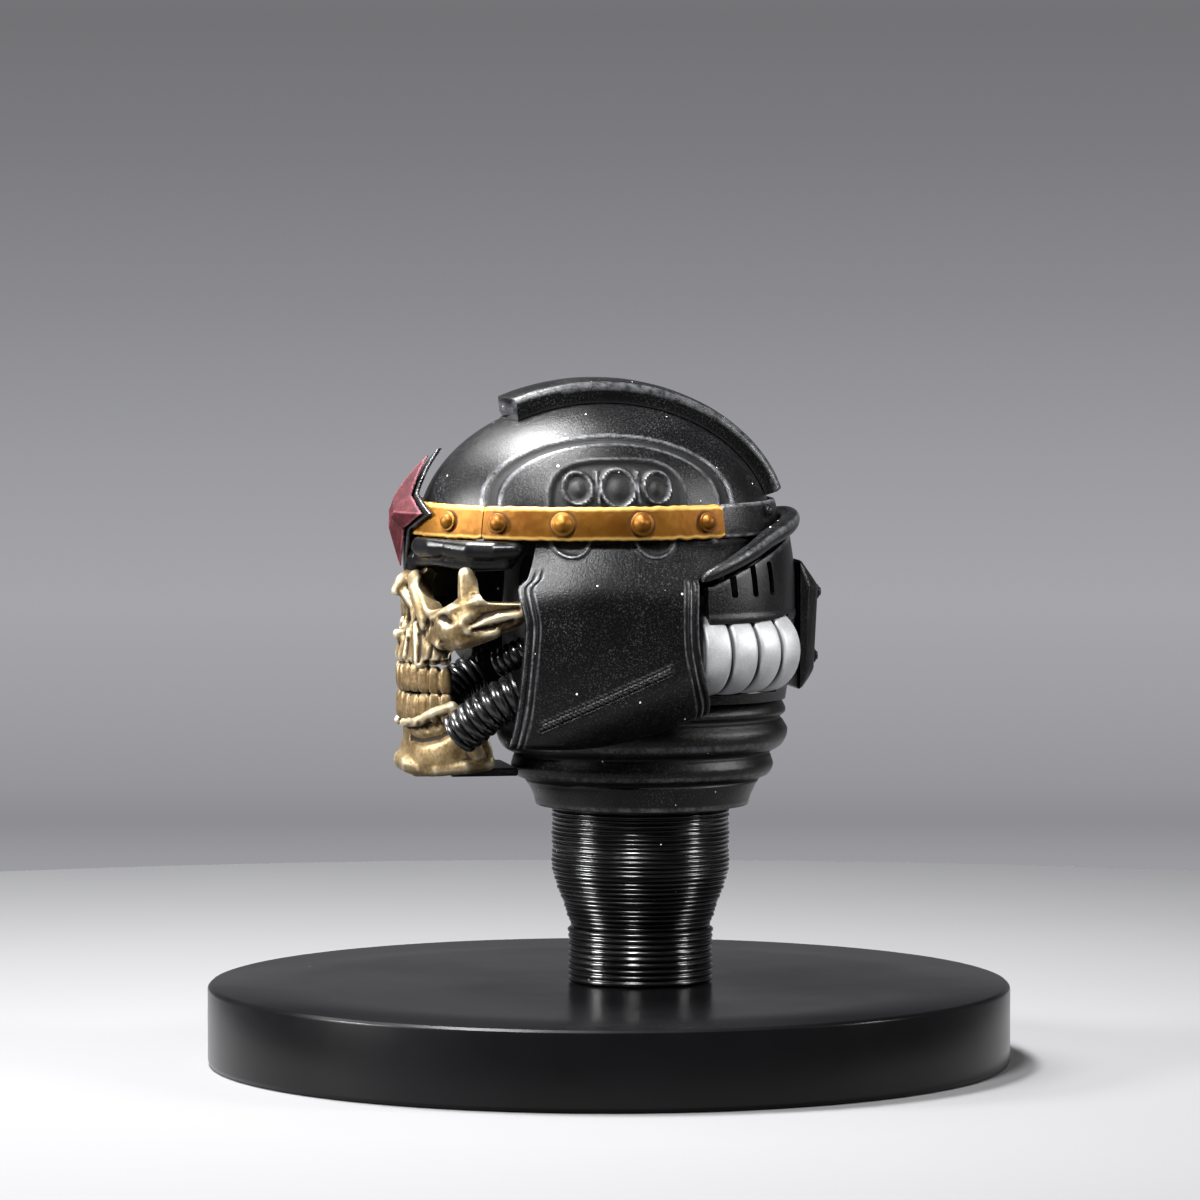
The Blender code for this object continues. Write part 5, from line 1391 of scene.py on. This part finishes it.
# ---- Table, light and camera -----------------------------------------------------------
# A pale table that falls off to a grey studio, brightest low behind the object. Soft lights
# stand over the crown, in front and at the rear, and a long lens has the photograph's angle.
CAMERA_TURN, CAMERA_AWAY, CAMERA_HEIGHT, CAMERA_PITCH = 79.0, 1000.0, 126.4, 3.93
CAMERA_SHIFT, CAMERA_LENS, SENSOR = 1.11, 241.9, 36.0
TABLE_RADIUS = 0.25
# The backdrop: a share of the climb from SKY_LOW to SKY_HIGH, and its grey there
SKY_LOW, SKY_HIGH, SKY_BLUE, SKY_DIM = -0.12, 0.20, 1.06, 0.10
SKY_TONES = ((0.000, 0.330), (0.060, 0.330), (0.076, 0.265), (0.091, 0.305), (0.122, 0.345),
             (0.161, 0.380), (0.219, 0.325), (0.277, 0.255), (0.335, 0.200), (0.385, 0.170),
             (0.620, 0.270), (0.800, 0.270), (1.000, 0.050))
# Degrees round from the camera and up, then metres away, width and height, and watts
LIGHTS = (("crown", -110, 70, 0.50, 0.15, 0.11, 11.5), ("far", -132, 46, 0.55, 0.24, 0.12, 1.1),
          ("side", -16, 52, 0.60, 0.11, 0.09, 7.8), ("front", -78, 20, 0.62, 0.14, 0.18, 10.0),
          ("rear", 80, 24, 0.60, 0.05, 0.26, 3.6))


def table_top():
    paint = Finish("pale_table")
    away = paint.node("VectorMath", {"operation": "LENGTH"}, {0: paint.place()}, "Value")
    # Painted light falloff: the table is lightest round the middle and darker towards its rim, a
    # painted pool of light.
    painted_falloff = paint.ramp(away / TABLE_RADIUS, ((0.30, 0.0), (0.58, 0.35), (0.80, 0.75), (0.98, 1.0)))
    tone = paint.blend(painted_falloff, (0.112, 0.112, 0.115), (0.060, 0.0605, 0.0625))
    return paint.wear(tone, 0.75 + paint.grain(0.05, 2) * 0.1)


bm = bmesh.new()
bmesh.ops.create_circle(bm, cap_ends=True, segments=160, radius=TABLE_RADIUS)
bm.transform(Matrix.Translation((0, 0, -0.00002)))
table = stand(bm, "table")
table.data.materials.append(table_top())


def way_from(turn, tilt=0.0):
    """The direction at a turn from the camera's side and a tilt up."""
    turn, tilt = math.radians(CAMERA_TURN + turn), math.radians(tilt)
    return Vector((math.sin(turn) * math.cos(tilt), -math.cos(turn) * math.cos(tilt),
                   math.sin(tilt)))


# The lens sees the backdrop in full. It lights the object less from the camera's side, so
# that black paint stays black.
sky = Finish("studio", "worlds", "Background")
bpy.context.scene.world = sky.material
way = sky.node("TexCoord", output="Generated")
climb = sky.node("MapRange", None, {"Value": sky.node("SeparateXYZ", None, {0: way}, 2),
                                    "From Min": SKY_LOW, "From Max": SKY_HIGH})
tones = tuple((share, (grey, grey, SKY_BLUE * grey)) for share, grey in SKY_TONES)
near = sky.node("VectorMath", {"operation": "DOT_PRODUCT"}, {0: way, 1: way_from(0.0)}, "Value")
dim = sky.node("MapRange", None, {"Value": near, "From Min": -0.9, "From Max": 0.1,
                                  "To Min": 1.0, "To Max": SKY_DIM})
lens_ray = sky.node("LightPath", output="Is Camera Ray")
brightest = sky.node("Math", {"operation": "MAXIMUM"}, {0: dim, 1: lens_ray})
sky.set(sky.shader.inputs["Color"], sky.ramp(climb, tones))
sky.set(sky.shader.inputs["Strength"], brightest)

for name, turn, tilt, away, width, height, power in LIGHTS:
    lamp = bpy.data.lights.new(name, "AREA")
    lamp.shape = "RECTANGLE"
    lamp.size, lamp.size_y, lamp.energy = width, height, power
    made = bpy.data.objects.new(name, lamp)
    bpy.context.scene.collection.objects.link(made)
    way = way_from(turn, tilt)
    made.location = Vector((0, 0, 0.055)) + way * away
    made.rotation_euler = way.to_track_quat("Z", "Y").to_euler()

# Standard keeps the gold and the red as deep as in the photograph
bpy.context.scene.view_settings.view_transform = "Standard"

turn = math.radians(CAMERA_TURN)
lens = bpy.data.cameras.new("camera")
lens.sensor_width, lens.lens = SENSOR, CAMERA_LENS
lens.clip_start, lens.clip_end = 0.05, 20.0
camera = bpy.data.objects.new("camera", lens)
bpy.context.scene.collection.objects.link(camera)
camera.location = (way_from(0.0) * CAMERA_AWAY * MM + Vector((0, 0, CAMERA_HEIGHT * MM))
                   - Vector((math.cos(turn), math.sin(turn), 0)) * CAMERA_SHIFT * MM)
camera.rotation_euler = (math.radians(90 - CAMERA_PITCH), 0, turn)
bpy.context.scene.camera = camera
